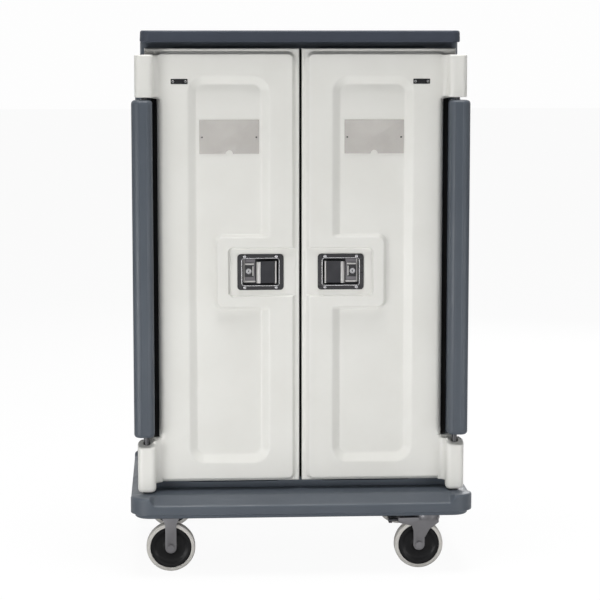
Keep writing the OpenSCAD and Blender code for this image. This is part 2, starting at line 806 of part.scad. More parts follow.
module brake_pedal(y) {
    color(black) translate([swivel_x - trail - pedal_x, y, pedal_z]) difference() {
        union() {
            rotate([90, 0, 0]) cylinder(r = 5, h = 28, center = true);
            translate([-34, -14, -3]) cube([32, 28, 6]);
            translate([-36, -20, -7]) cube([10, 40, 10]);
        }
        rotate([90, 0, 0]) cylinder(r = 2.55, h = 60, center = true);
    }
}

// the hard core: a dished disc with a broad rim, turned about its axle
module wheel_core(x, y) {
    r = core_d / 2;
    half = wheel_w / 2;
    color(black) translate([x, y, axle_z]) rotate([90, 0, 0]) rotate_extrude($fn = 96)
        polygon([[axle_d / 2 + 0.06, -half - 1.5], [17, -half - 1.5], [19, -half + 5], [r - 16, -half + 7],
            [r - 8, -half + 2], [r, -half + 1], [r, half - 1], [r - 8, half - 2], [r - 16, half - 7],
            [19, half - 5], [17, half + 1.5], [axle_d / 2 + 0.06, half + 1.5]]);
}

module wheel_tyre(x, y) {
    r = core_d / 2;
    half = wheel_w / 2;
    shoulder = 7;
    color(tread_grey) translate([x, y, axle_z]) rotate([90, 0, 0]) rotate_extrude($fn = 96) difference() {
        union() {
            translate([r, -half]) square([wheel_d / 2 - r - shoulder, wheel_w]);
            translate([r, -half + shoulder]) square([wheel_d / 2 - r, wheel_w - 2 * shoulder]);
            for (s = [-1, 1]) translate([wheel_d / 2 - shoulder, s * (half - shoulder)])
                circle(r = shoulder, $fn = 48);
        }
        translate([r - 2 * shoulder, -half - 1]) square([2 * shoulder, wheel_w + 2]);
    }
}

module axle(x, y) {
    head = 4;
    color(steel) translate([x, y, axle_z]) rotate([90, 0, 0]) {
        cylinder(d = axle_d, h = 2 * (leg_gap + leg_t), center = true);
        for (s = [-1, 1])
            translate([0, 0, s * (leg_gap + leg_t + head / 2)]) cylinder(r = 10, h = head, center = true);
    }
}

module caster_bolts() {
    head_h = 4;
    color(steel) for (p = bolt_places)
        translate([p[0], p[1], seat_z - caster_plate_t]) {
            translate([0, 0, -head_h]) cylinder(r = 8, h = head_h);
            cylinder(r = bolt_r, h = caster_plate_t + bolt_hole - 4);
        }
}

wheel_swivel_x = swivel_x - trail;

base();
body_shell();
roof();
tray_rails(-1);  // left_tray_rails
tray_rails(1);  // right_tray_rails
front_post(-1);  // front_left_post
front_post(1);  // front_right_post
rear_post(-1);  // rear_left_post
rear_post(1);  // rear_right_post
hinge_pins(-1);  // left_hinge_pins
hinge_pins(1);  // right_hinge_pins
striker(-1);  // left_striker
striker(1);  // right_striker
side_magnet(-1);  // left_side_magnet
side_magnet(1);  // right_side_magnet
door(-1);  // left_door
door_seal(-1);  // left_door_seal
hinge_bushes(-1);  // left_hinge_bushes
card_holder(-1);  // left_card_holder
catch_plate(-1);  // left_catch_plate
door_screws(-1);  // left_door_screws
latch_pan(-1);  // left_latch_pan
latch_case(-1);  // left_latch_case
paddle(-1);  // left_paddle
lock_plug(-1);  // left_lock_plug
pawl(-1);  // left_pawl
door(1);  // right_door
door_seal(1);  // right_door_seal
hinge_bushes(1);  // right_hinge_bushes
card_holder(1);  // right_card_holder
catch_plate(1);  // right_catch_plate
door_screws(1);  // right_door_screws
latch_pan(1);  // right_latch_pan
latch_case(1);  // right_latch_case
paddle(1);  // right_paddle
lock_plug(1);  // right_lock_plug
pawl(1);  // right_pawl
fixed_fork(-caster_y);  // fixed_fork_front
fixed_fork(caster_y);  // fixed_fork_rear
swivel_plate(-caster_y);  // swivel_plate_front
swivel_plate(caster_y);  // swivel_plate_rear
swivel_fork(-caster_y);  // swivel_fork_front
swivel_fork(caster_y);  // swivel_fork_rear
brake_pedal(-caster_y);  // brake_pedal_front
brake_pedal(caster_y);  // brake_pedal_rear
wheel_core(-fixed_x, -caster_y);  // fixed_wheel_front
wheel_core(-fixed_x, caster_y);  // fixed_wheel_rear
wheel_core(wheel_swivel_x, -caster_y);  // swivel_wheel_front
wheel_core(wheel_swivel_x, caster_y);  // swivel_wheel_rear
wheel_tyre(-fixed_x, -caster_y);  // fixed_tyre_front
wheel_tyre(-fixed_x, caster_y);  // fixed_tyre_rear
wheel_tyre(wheel_swivel_x, -caster_y);  // swivel_tyre_front
wheel_tyre(wheel_swivel_x, caster_y);  // swivel_tyre_rear
union() {  // caster_axles_fixed
    axle(-fixed_x, -caster_y);
    axle(-fixed_x, caster_y);
}
axle(wheel_swivel_x, -caster_y);  // swivel_axle_front
axle(wheel_swivel_x, caster_y);  // swivel_axle_rear
caster_bolts();
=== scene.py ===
# %% [markdown]
# # A cart that keeps trays of food hot, with two doors and four casters
#
# The cart is moulded plastic: a dark blue-grey shell on a broad base, and two pale doors whose hinges let
# them swing right round and lie flat against the sides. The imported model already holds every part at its
# true size, so this lesson dresses it. Shapes that a mould softens, such as the doors, the base and the
# posts, are worked out afresh as smooth surfaces. Plain parts, such as the tray ledges, stay and only get a
# finish.

# %% Load the frame and keep its size
import json
import math
import bmesh
import bpy
import numpy as np
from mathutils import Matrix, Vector


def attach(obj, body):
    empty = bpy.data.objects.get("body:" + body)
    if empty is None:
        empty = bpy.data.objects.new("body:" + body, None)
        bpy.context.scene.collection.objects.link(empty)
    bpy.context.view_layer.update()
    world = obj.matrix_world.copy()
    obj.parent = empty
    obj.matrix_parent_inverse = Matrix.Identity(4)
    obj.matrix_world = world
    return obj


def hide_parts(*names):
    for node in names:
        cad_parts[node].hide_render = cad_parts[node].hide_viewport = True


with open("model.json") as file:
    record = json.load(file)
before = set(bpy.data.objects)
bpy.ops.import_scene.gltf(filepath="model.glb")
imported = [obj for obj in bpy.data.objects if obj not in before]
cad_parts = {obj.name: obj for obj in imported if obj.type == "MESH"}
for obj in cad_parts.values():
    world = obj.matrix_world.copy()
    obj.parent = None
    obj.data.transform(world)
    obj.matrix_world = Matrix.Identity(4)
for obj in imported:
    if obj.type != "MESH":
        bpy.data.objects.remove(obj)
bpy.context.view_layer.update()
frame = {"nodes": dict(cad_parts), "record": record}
nodes = frame["nodes"]
SIDES = {"left": -1, "right": 1}
ENDS = {"front": -1, "rear": 1}

# %% [markdown]
# ## The camera
#
# The picture was taken from in front, a little to the left of the middle. The roof's top doesn't show, so
# the camera stood at the roof's height, and the uprights stay almost parallel, so the lens was long. The
# place was found by matching some fifty edges of the cart to their places in the picture. A long lens keeps
# proportions plain, which suits a product picture.

# %% Place the camera
camera_data = bpy.data.cameras.new("camera")
camera = bpy.data.objects.new("camera", camera_data)
bpy.context.scene.collection.objects.link(camera)
bpy.context.scene.camera = camera
FOCAL_PIXELS, PICTURE_PIXELS = 2119.3, 600
camera_data.sensor_width = 36
camera_data.lens = FOCAL_PIXELS / PICTURE_PIXELS * camera_data.sensor_width
camera_data.clip_start, camera_data.clip_end = 0.1, 60
camera.location = (-0.376, -6.688, 1.640)
camera.rotation_euler = (math.radians(90 - 7.169), 0, math.radians(-3.339))
print("lens", round(camera_data.lens, 1), "mm")

# %% [markdown]
# ## Small tools for surfaces
#
# Nearly every moulded shape here is a pile of rings: a closed outline, drawn again at many heights, each
# time a little smaller near the ends so that the edge comes out round. One helper turns such a pile into a
# mesh. It could be done with modifiers, but rings keep each radius where the mould has it.

# %% Turn an array of points into a mesh
def link(name, mesh):
    """Makes an object of a mesh and puts it into the scene."""
    piece = bpy.data.objects.new(name, mesh)
    bpy.context.scene.collection.objects.link(piece)
    return piece


def surface(name, points, wrap_rings=False, caps=True, sharp=32):
    """points is rings x ring points x 3, in millimetres. Each ring is joined to the next one, point by point;
    caps close the first and the last ring, or wrap_rings joins the last ring to the first. Doubled points are
    merged, faces turned outwards, and shading is smooth up to the angle sharp (degrees)."""
    rings, count = points.shape[:2]
    index = np.arange(rings * count).reshape(rings, count)
    upper = np.roll(index, -1, axis=0) if wrap_rings else index[1:]
    lower = index if wrap_rings else index[:-1]
    quads = np.stack([lower, np.roll(lower, -1, axis=1), np.roll(upper, -1, axis=1), upper], axis=-1)
    faces = quads.reshape(-1, 4).tolist()
    if caps and not wrap_rings:
        faces += [index[0][::-1].tolist(), index[-1].tolist()]
    mesh = bpy.data.meshes.new(name)
    mesh.from_pydata((points.reshape(-1, 3) * 0.001).tolist(), [], faces)
    work = bmesh.new()
    work.from_mesh(mesh)
    bmesh.ops.remove_doubles(work, verts=work.verts, dist=0.00001)
    bmesh.ops.dissolve_degenerate(work, edges=work.edges, dist=0.00001)
    bmesh.ops.recalc_face_normals(work, faces=work.faces)
    work.to_mesh(mesh)
    work.free()
    mesh.shade_smooth()
    mesh.set_sharp_from_angle(angle=math.radians(sharp))
    return link(name, mesh)


def joined(name, *pieces):
    """Makes one mesh object of several, which all sit at the origin."""
    work = bmesh.new()
    for piece in pieces:
        work.from_mesh(piece.data)
        bpy.data.objects.remove(piece)
    mesh = bpy.data.meshes.new(name)
    work.to_mesh(mesh)
    work.free()
    mesh.shade_smooth()
    mesh.set_sharp_from_angle(angle=math.radians(32))
    return link(name, mesh)


print("surface helpers are ready")

# %% Outlines, resampled and softened
def resample(corners, spacing=2.0, soften=4.0):
    """Walks round a closed outline in even steps, then averages each point with its neighbours over the
    length soften, which rounds the corners. Returns an array of x, y."""
    ring = np.vstack([corners, corners[:1]]).astype(float)
    along = np.concatenate([[0], np.cumsum(np.hypot(*np.diff(ring, axis=0).T))])
    count = int(along[-1] / spacing)
    even = np.linspace(0, along[-1], count, endpoint=False)
    points = np.column_stack([np.interp(even, along, ring[:, k]) for k in (0, 1)])
    width = max(1, int(soften / spacing) | 1)
    reach = range(-(width // 2), width // 2 + 1)
    return sum(np.roll(points, k, axis=0) for k in reach) / width


def outward(points):
    """The outward unit direction at each point of a closed outline: the line from the point before to the
    point after, turned a quarter, and flipped if the outline runs clockwise."""
    step = np.roll(points, -1, axis=0) - np.roll(points, 1, axis=0)
    step /= np.linalg.norm(step, axis=1, keepdims=True)
    normal = np.column_stack([step[:, 1], -step[:, 0]])
    x, y = points.T
    turn = np.sum(x * np.roll(y, -1) - np.roll(x, -1) * y)
    return normal if turn > 0 else -normal


def edge_steps(low, high, radius, steps=5):
    """Heights and insets that round both ends of a length: an inset of r - sqrt(r^2 - (r - d)^2) at the
    distance d from an end."""
    angle = np.linspace(0, math.pi / 2, steps)
    depth = radius * (1 - np.cos(angle))
    inset = radius * (1 - np.sin(angle))
    return np.concatenate([low + depth, high - depth[::-1]]), np.concatenate([inset, inset[::-1]])


def stack(name, outline, low, high, radius, axis="z"):
    """A solid of one outline, carried along an axis from low to high with its end edges rounded."""
    heights, insets = edge_steps(low, high, radius)
    rings = outline[None] - outward(outline)[None] * insets[:, None, None]
    level = np.broadcast_to(heights[:, None, None], rings.shape[:2] + (1,))
    points = np.concatenate([rings, level], axis=2)
    if axis == "y":
        points = points[:, :, [0, 2, 1]]
    return surface(name, points)


def circle(radius, centre=(0, 0), count=48, start=0.0, end=2 * math.pi):
    """Points round a circle, or along an arc of it."""
    angle = np.linspace(start, end, count, endpoint=abs(end - start) < 6.28)
    return np.column_stack([centre[0] + radius * np.cos(angle), centre[1] + radius * np.sin(angle)])


def mirrored(points, side):
    """The same points on the left side, where x changes its sign."""
    return points * np.array([side, 1, 1][: points.shape[-1]])


print("outline helpers are ready")

# %% [markdown]
# ## Finishes
#
# Rotationally moulded plastic isn't one flat colour. It has a fine pebbled skin from the mould, slow
# changes of tone where the wall was thicker, and a sheen that varies from place to place. All of that comes
# from noise on object coordinates, so the pattern stays on the piece when a door opens. A picture of
# plastic would be quicker, but it would stretch over the curves.

# %% A recipe for moulded plastic
def new_material(name, **sockets):
    """A material with one shader; the named sockets get plain values."""
    material = bpy.data.materials.new(name)
    material.use_nodes = True
    shader = material.node_tree.nodes["Principled BSDF"]
    for key, value in sockets.items():
        shader.inputs[key.replace("_", " ")].default_value = value
    return material, shader


def noise(material, scale, detail=3.0, roughness=0.5, stretch=(1, 1, 1)):
    """A noise pattern on object coordinates, stretched if asked."""
    tree = material.node_tree
    place = tree.nodes.new("ShaderNodeTexCoord")
    turn = tree.nodes.new("ShaderNodeMapping")
    turn.inputs["Scale"].default_value = stretch
    pattern = tree.nodes.new("ShaderNodeTexNoise")
    pattern.inputs["Scale"].default_value = scale
    pattern.inputs["Detail"].default_value = detail
    pattern.inputs["Roughness"].default_value = roughness
    tree.links.new(place.outputs["Object"], turn.inputs["Vector"])
    tree.links.new(turn.outputs["Vector"], pattern.inputs["Vector"])
    return pattern.outputs["Fac"]


def ramp(material, source, low, high):
    """Turns a pattern into a colour that goes from low to high over the middle of its range."""
    node = material.node_tree.nodes.new("ShaderNodeValToRGB")
    dark, light = node.color_ramp.elements
    dark.position, light.position = 0.35, 0.65
    dark.color, light.color = (*low, 1), (*high, 1)
    material.node_tree.links.new(source, node.inputs["Fac"])
    return node.outputs["Color"]


def spread(material, source, low, high):
    """Turns a pattern into a number between low and high."""
    node = material.node_tree.nodes.new("ShaderNodeMapRange")
    node.inputs["From Min"].default_value, node.inputs["From Max"].default_value = 0.3, 0.7
    node.inputs["To Min"].default_value, node.inputs["To Max"].default_value = low, high
    material.node_tree.links.new(source, node.inputs["Value"])
    return node.outputs["Result"]


def relief(material, shader, layers):
    """Bumps from several patterns, one over the other: (pattern, strength, height in metres) each."""
    tree = material.node_tree
    below = None
    for pattern, strength, height in layers:
        bump = tree.nodes.new("ShaderNodeBump")
        bump.inputs["Strength"].default_value = strength
        bump.inputs["Distance"].default_value = height
        tree.links.new(pattern, bump.inputs["Height"])
        if below:
            tree.links.new(below, bump.inputs["Normal"])
        below = bump.outputs["Normal"]
    tree.links.new(below, shader.inputs["Normal"])


def moulded(name, low, high, sheen=(0.34, 0.5), grain=900, pebble=0.0002, sag=0.0006, gloss=0.5):
    """Moulded plastic: two close tones, a changing sheen, a fine pebble and a slow unevenness of the wall."""
    material, shader = new_material(name, IOR=1.5, Specular_IOR_Level=gloss)
    tree = material.node_tree
    tree.links.new(ramp(material, noise(material, 5.0, 5.0), low, high), shader.inputs["Base Color"])
    tree.links.new(spread(material, noise(material, 16.0, 4.0), *sheen), shader.inputs["Roughness"])
    slow, fine = noise(material, 3.0, 2.0), noise(material, grain, 2.0)
    relief(material, shader, [(slow, 0.5, sag), (fine, 0.35, pebble)])
    return material


# Each one: its name, the darker and the lighter tone, the range of its roughness and the pebble's fineness.
shell_grey = moulded("shell_grey_plastic", (0.058, 0.070, 0.087), (0.067, 0.080, 0.098), (0.36, 0.5), 700,
    sag=0.0003, gloss=0.38)
# The roof's plastic is the shell's, painted darker: the shade at the top of the cart is put into its colour.
roof_shade_grey = moulded("roof_plastic_painted_shade", (0.038, 0.045, 0.061), (0.044, 0.052, 0.070), (0.4, 0.52), 700,
    gloss=0.25)
plate_dark = moulded("plate_dark_finish", (0.016, 0.0155, 0.018), (0.024, 0.0235, 0.026), (0.26, 0.38), 900,
    gloss=0.4)
panel_zinc = moulded("panel_zinc", (0.14, 0.132, 0.145), (0.19, 0.182, 0.195), (0.25, 0.4), 900, gloss=0.35)
# A light grey that paints highlights along the latch's edges: strips on the panel and the housing, the
# paddle's lip and its barrel.
edge_highlight_zinc = moulded("edge_highlight_zinc", (0.44, 0.43, 0.42), (0.54, 0.53, 0.52), (0.22, 0.34), 900)
door_cream = moulded("door_cream_plastic", (0.68, 0.675, 0.64), (0.71, 0.706, 0.673), (0.3, 0.42), 800,
    gloss=0.45)
rail_cream = moulded("rail_cream_plastic", (0.70, 0.69, 0.65), (0.74, 0.73, 0.69), (0.42, 0.55), 500)
core_black = moulded("wheel_core_plastic", (0.006, 0.006, 0.0065), (0.010, 0.010, 0.011), (0.28, 0.4), 300,
    gloss=0.12)
tread_grey = moulded("wheel_tread_rubber", (0.50, 0.485, 0.455), (0.58, 0.56, 0.53), (0.55, 0.75), 600)
seal_rubber = moulded("seal_rubber", (0.006, 0.006, 0.0063), (0.010, 0.010, 0.0105), (0.6, 0.75), 1200,
    gloss=0.1)
catch_black = moulded("catch_black_plastic", (0.006, 0.006, 0.007), (0.010, 0.010, 0.012), (0.3, 0.4), 900,
    gloss=0.25)
bush_black = moulded("bush_nylon", (0.03, 0.03, 0.032), (0.045, 0.045, 0.047), (0.4, 0.5), 900)
print("plastics", [m.name for m in bpy.data.materials if m.name.endswith(("plastic", "rubber", "nylon"))])

# %% [markdown]
# ## Metals and the clear card holders
#
# The latch plates have a dark finish, made above. The bead round their dish, the key cylinder and the
# screws are bare metal. Metal mostly shows what stands in front of it, so its colour matters less than a
# smooth face with a few hairlines. The caster forks are zinc plated, duller and a little blotchy. The card
# holders are clear sheet that is scratched and a little grey: about half of the light passes, and the rest
# is scattered back.

# %% A recipe for metal, and one for clear sheet
def metal(name, low, high, sheen, hairline=(1, 1, 1), scale=60, mark=0.00003):
    """Metal: two close tones, a sheen that varies along hairlines, and faint scratches."""
    material, shader = new_material(name, Metallic=1.0)
    tree = material.node_tree
    tree.links.new(ramp(material, noise(material, 9.0, 4.0), low, high), shader.inputs["Base Color"])
    lines = noise(material, scale, 4.0, 0.6, hairline)
    tree.links.new(spread(material, lines, *sheen), shader.inputs["Roughness"])
    relief(material, shader, [(lines, 0.3, mark)])
    return material


bright_steel = metal("bright_steel", (0.58, 0.58, 0.60), (0.68, 0.68, 0.70), (0.12, 0.24), (1, 1, 9))
plain_steel = metal("plain_steel", (0.42, 0.42, 0.43), (0.52, 0.52, 0.53), (0.3, 0.45), (1, 6, 1))
caster_steel = metal("caster_zinc", (0.132, 0.130, 0.136), (0.175, 0.173, 0.181), (0.34, 0.5), (1, 1, 3), 40)
# The hinge pins' steel is painted nearly black: the shade in the gap between post and knuckle.
shaded_pin_steel = metal("pin_steel_painted_shade", (0.05, 0.05, 0.052), (0.08, 0.08, 0.083), (0.3, 0.4), (1, 1, 6))
bead_steel = metal("bead_steel", (0.34, 0.34, 0.35), (0.42, 0.42, 0.43), (0.2, 0.3), (1, 1, 9))
paddle_black = metal("paddle_dark_steel", (0.04, 0.04, 0.044), (0.06, 0.06, 0.065), (0.28, 0.38), (1, 1, 8))

clear_card, clear_shader = new_material("clear_card_sheet", IOR=1.49, Transmission_Weight=0.55)
tint = ramp(clear_card, noise(clear_card, 20.0), (0.755, 0.732, 0.704), (0.815, 0.792, 0.764))
clear_card.node_tree.links.new(tint, clear_shader.inputs["Base Color"])
rub = noise(clear_card, 60.0, 5.0, 0.6, (1, 1, 4))
clear_card.node_tree.links.new(spread(clear_card, rub, 0.08, 0.2), clear_shader.inputs["Roughness"])
print("metals", [m.name for m in bpy.data.materials if "steel" in m.name or "zinc" in m.name])

# %% Give every node of the frame its finish
FINISHES = {
    "shell_grey": shell_grey, "door_cream": door_cream, "rail_cream": rail_cream,
    "bright_steel": bright_steel, "plain_steel": plain_steel, "caster_steel": caster_steel,
    "seal_rubber": seal_rubber, "bush_black": bush_black, "clear_card": clear_card,
    "catch_black": catch_black, "paddle_black": paddle_black, "core_black": core_black,
    "tread_grey": tread_grey,
}
SLOT_OF = {entry["node"]: entry["material_slot"] for entry in frame["record"]["subparts"]}


def ride_and_replace(piece, slot_name, material, body, node=None):
    """Puts the slot's finish, or another material, on a piece, and the piece on the body that it rides on
    and, if a node is named, hides that node, whose place the piece takes."""
    piece.data.materials.clear()
    piece.data.materials.append(material or FINISHES[slot_name])
    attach(piece, body)
    if node:
        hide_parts(node)


for name, node in nodes.items():
    if name in SLOT_OF:
        finish = FINISHES[SLOT_OF[name]]
        # Painted shade: the hinge pins get the nearly black steel.
        if "hinge_pins" in name:
            finish = shaded_pin_steel
        elif "axle" in name:
            finish = caster_steel
        for place in node.material_slots:
            place.material = finish
print("finished", len(SLOT_OF), "nodes")

# %% [markdown]
# ## The doors
#
# A door is one hollow moulding. From the front it is a raised face with a lower rim round it, a long dished
# panel, and a frame of full height round the latch. A mould can't make crisp steps, so each step is a short
# slope with rounded ends. That is a height for every point of the face, so the front is worked out as one
# surface over a grid whose lines crowd together where the steps are.

# %% Steps with rounded ends
def inside_box(x, z, x0, x1, z0, z1, radius):
    """How far a point lies inside a rectangle with round corners; below zero outside it. It is the distance
    to the nearest side, or near a corner the radius less the distance to the corner's centre."""
    out_x = np.abs(x - (x0 + x1) / 2) - (x1 - x0) / 2 + radius
    out_z = np.abs(z - (z0 + z1) / 2) - (z1 - z0) / 2 + radius
    corner = np.hypot(np.maximum(out_x, 0), np.maximum(out_z, 0))
    return radius - corner - np.minimum(np.maximum(out_x, out_z), 0)


def step(distance, width, rounding):
    """A straight slope from 0 to 1 over width, averaged over the length rounding, so that its ends bend."""
    def total(t):
        return np.where(t < 0, 0, np.where(t < 1, t * t / 2, t - 0.5))
    t, a = distance / width, rounding / width
    return (total(t + a / 2) - total(t - a / 2)) / a


def round_over(distance, radius):
    """How far a rounded edge has fallen back at a distance from the edge: r - sqrt(r^2 - (r - d)^2)."""
    away = np.clip(radius - distance, 0, radius)
    return radius - np.sqrt(np.maximum(radius ** 2 - away ** 2, 0))


# Places on a door, in millimetres; x is measured from the middle of the cart outwards. Between LOW_ZONE and
# HIGH_ZONE the door stops short in front of the post.
FACE_Y, RIM_BACK, BACK_Y, BODY_FRONT = -286.0, 12.0, -242.0, -238.2
AXIS_X, AXIS_Y = 472.0, -305.0
DOOR_IN, DOOR_LOW, DOOR_HIGH = 4.0, 272.0, 1596.0
RAISED_IN, RAISED_LOW, RAISED_HIGH = 24, 281, 1579
OUTER_MID, OUTER_END, FACE_OUT, EDGE_R = 434.0, 470.0, 436.0, 20.0
LOW_ZONE, HIGH_ZONE = 409.0, 1450.0
LATCH_X, LATCH_Z = 122.5, 919.0
# Each area of the face: x from and to, z from and to, and the radius of its corners.
DISH = (95, 342, 330, 1514, 50)
LATCH_FRAME = (34, 262, LATCH_Z - 115, LATCH_Z + 114, 26)
POCKET = (-60, 221, LATCH_Z - 75, LATCH_Z + 75, 14)
WELL = (LATCH_X - 59, LATCH_X + 59, LATCH_Z - 43.5, LATCH_Z + 43.5, 9)
CATCH_SEAT = (340.7, 391.3, 1489.2, 1504.8, 1.5)
DISH_DEEP, POCKET_DEEP, WELL_DEEP, SEAT_DEEP, DEEPEST = 17, 10, 42, 2, 43


def face_depth(x, z, outer_face):
    """How far the door's front lies behind the plane of its face, in mm: the deepest of its areas."""
    raised = step(inside_box(x, z, RAISED_IN, outer_face, RAISED_LOW, RAISED_HIGH, 16) + 7, 8.0, 5.0)
    depth = RIM_BACK * (1 - raised)
    dish = DISH_DEEP * step(inside_box(x, z, *DISH) - 0.5, 25.0, 7.0)
    depth = np.maximum(depth, dish * (1 - step(inside_box(x, z, *LATCH_FRAME), 8.0, 5.0)))
    depth = np.maximum(depth, POCKET_DEEP * step(inside_box(x, z, *POCKET), 3.0, 2.6))
    depth = np.maximum(depth, WELL_DEEP * step(inside_box(x, z, *WELL), 1.2, 1.0))
    depth = np.maximum(depth, SEAT_DEEP * step(inside_box(x, z, *CATCH_SEAT), 0.6, 0.5))
    edge = np.minimum(np.minimum(x - DOOR_IN, OUTER_END - x), np.minimum(z - DOOR_LOW, DOOR_HIGH - z))
    return np.minimum(depth + round_over(edge, 5.0), DEEPEST)


def crowded(*spans):
    """Grid lines: (from, to, spacing) for each span, joined without doubles."""
    lines = [np.arange(a, b, s) for a, b, s in spans] + [[spans[-1][1]]]
    return np.unique(np.round(np.concatenate(lines), 3))


grid_x = crowded((4, 9, 0.8), (9, 18, 3), (18, 30, 1), (30, 44, 1.5), (44, 60, 8), (60, 70, 1), (70, 94, 8),
    (94, 122, 1.4), (122, 150, 2.5), (150, 176, 8), (176, 184, 1), (184, 206, 6), (206, 223, 1),
    (223, 236, 5), (236, 264, 1.4), (264, 292, 7), (292, 312, 2.5), (312, 343.4, 1.4), (343.4, 386, 9),
    (386, 396, 1), (396, 404, 4), (404, 412, 0.8))
grid_z = crowded((272, 277, 0.8), (277, 295, 1.2), (295, 328, 8), (328, 358, 1.4), (358, 382, 3),
    (382, 408.6, 8), (409.4, 440, 10), (440, 800, 24), (800, 832, 1.3), (832, 842, 5), (842, 860, 1),
    (860, 874, 5), (874, 886, 1), (886, 952, 10), (952, 964, 1), (964, 978, 5), (978, 996, 1),
    (996, 1006, 5), (1006, 1035, 1.3), (1035, 1420, 24), (1420, 1449.6, 8), (1450.4, 1462, 4),
    (1462, 1486, 2.5), (1486, 1516, 1.2), (1516, 1566, 8), (1566, 1580, 1.2), (1580, 1590, 4),
    (1590, 1596, 0.8))
print("door grid", len(grid_x), "x", len(grid_z))

# %% [markdown]
# ### One ring for each height
#
# The grid gives the front. To close the door, each height gets one ring that runs along the front from the
# inner edge, round the outer edge, and back along the flat inside. Where the handle post stands, the front
# stops short: it bends round and runs straight back, and a black strip there paints the shade in the gap.
# Above and below the post the front goes on to the hinge. Both kinds of ring have the same number of
# points, so they join into one skin.

# %% Build the slab of a door
def door_rings():
    """One ring of x, y, z for each height: the front by face_depth on the grid, then a tail, which is the
    rest of the front with the outer edge (long at the hinges, short at the post), and then the inside."""
    x = np.broadcast_to(grid_x, (len(grid_z), len(grid_x)))
    z = np.broadcast_to(grid_z[:, None], x.shape)
    ends = (grid_z < LOW_ZONE) | (grid_z > HIGH_ZONE)
    outer_face = np.where(ends, FACE_OUT, OUTER_END)[:, None]
    front = np.stack([x, FACE_Y + face_depth(x, z, outer_face), z], axis=-1)
    rounded = np.array([0, 0.4, 1.2, 2.4, 4.0])
    tail_x = np.concatenate([np.linspace(414, 434, 6), np.linspace(435, 464, 10), OUTER_END - rounded[::-1]])
    tail_z = np.broadcast_to(grid_z[:, None], (len(grid_z), len(tail_x)))
    tail_x_all = np.broadcast_to(tail_x, tail_z.shape)
    long_tail = np.stack([tail_x_all, FACE_Y + face_depth(tail_x_all, tail_z, FACE_OUT), tail_z], axis=-1)
    bend = circle(EDGE_R, (OUTER_MID - EDGE_R, FACE_Y + EDGE_R), 14, -math.pi / 2, 0)
    edge_y = np.linspace(bend[-1, 1], BACK_Y, len(tail_x) - len(bend) + 1)[1:]
    short = np.concatenate([bend, np.column_stack([np.full(len(edge_y), OUTER_MID), edge_y])])
    short_tail = np.concatenate([np.broadcast_to(short, tail_z.shape + (2,)), tail_z[..., None]], axis=2)
    tail = np.where(ends[:, None, None], long_tail, short_tail)
    far = np.where(ends, OUTER_END, OUTER_MID)
    inside = np.stack([
        np.stack([far + (DOOR_IN - far) * t, np.full(len(far), BACK_Y), grid_z], axis=-1)
        for t in np.linspace(0, 1, 12)], axis=1)
    return np.concatenate([front, tail, inside], axis=1)


rings = door_rings()
print("door rings", rings.shape, "depth from", rings[..., 1].min(), "to", rings[..., 1].max())

# %% [markdown]
# ### Hinge knuckles
#
# Each knuckle stands in front of the face, on a hollow curve that carries the load into the door. Seen from
# above, each point of its outline has a partner on the bore in the same direction from the hinge pin, so
# the rings can go up the outside, over the top and down the bore.

# %% Build a knuckle round the hinge pin
def knuckle(name, side, low, top_front, top_rise, foot_round):
    """Seen from above, a knuckle is flat in front with round corners and half round behind. Its rings lie at
    growing heights, each a little smaller near the ends; the first and the last lie on the bore. The top may
    rise towards the door by top_rise, and the foot is rounded by foot_round."""
    half, corner, bore_radius, back_reach = 27.5, 16.0, 12.1, 19
    corners = np.vstack([
        circle(corner, (-half + corner, -half + corner), 9, math.pi, 1.5 * math.pi),
        circle(corner, (half - corner, -half + corner), 9, 1.5 * math.pi, 2 * math.pi),
        circle(half, (0, 0), 24, 0, math.pi)])
    outline = resample(corners, 1.6, 3.2)
    angle = np.arctan2(outline[:, 1], outline[:, 0])
    foot_steps, head_steps = 8, 6
    foot, foot_inset = (part[:foot_steps] for part in edge_steps(0, 0, foot_round, foot_steps))
    head, head_inset = (part[head_steps:] for part in edge_steps(0, 0, 4.0, head_steps))
    insets = np.concatenate([foot_inset, head_inset])
    rings = outline[None] - outward(outline)[None] * insets[:, None, None]
    bore = bore_radius * np.column_stack([np.cos(angle), np.sin(angle)])
    rings = np.concatenate([bore[None], rings, bore[None]])
    shares = np.repeat([0.0, 1.0], [1 + len(foot), len(head) + 1])[:, None]
    offset = np.concatenate([[0], foot, head, [0]])[:, None]
    top = top_front + np.clip((rings[..., 1] + half) / (half + back_reach), 0, 1) * top_rise
    height = low * (1 - shares) + top * shares + offset
    points = np.concatenate([rings, height[..., None]], axis=2) + np.array([AXIS_X, AXIS_Y, 0])
    return surface(name, mirrored(points, side), wrap_rings=True, sharp=38)


def cove(name, side, low, high):
    """The hollow quarter circle between a knuckle's inner side and the door's face, with a root behind. Its
    places are measured from the hinge pin."""
    sweep = circle(20, (-47.5, -2), 24, math.pi / 2, 0)
    outline = resample(np.vstack([[[-20, 42], [-47.5, 42]], sweep, [[-20, -2]]]), 1.2, 1.3)
    return stack(name, mirrored(outline + [AXIS_X, AXIS_Y], side), low, high, 2.5)


# The foot, the top in front, the top's rise and the foot's rounding of each knuckle; both ends of each cove.
KNUCKLES = {"upper": (1450, 1577, 0, 4.0), "lower": (249, 388, 18, 12.0)}
COVES = ((272.5, 404), (1450.5, 1576.5))
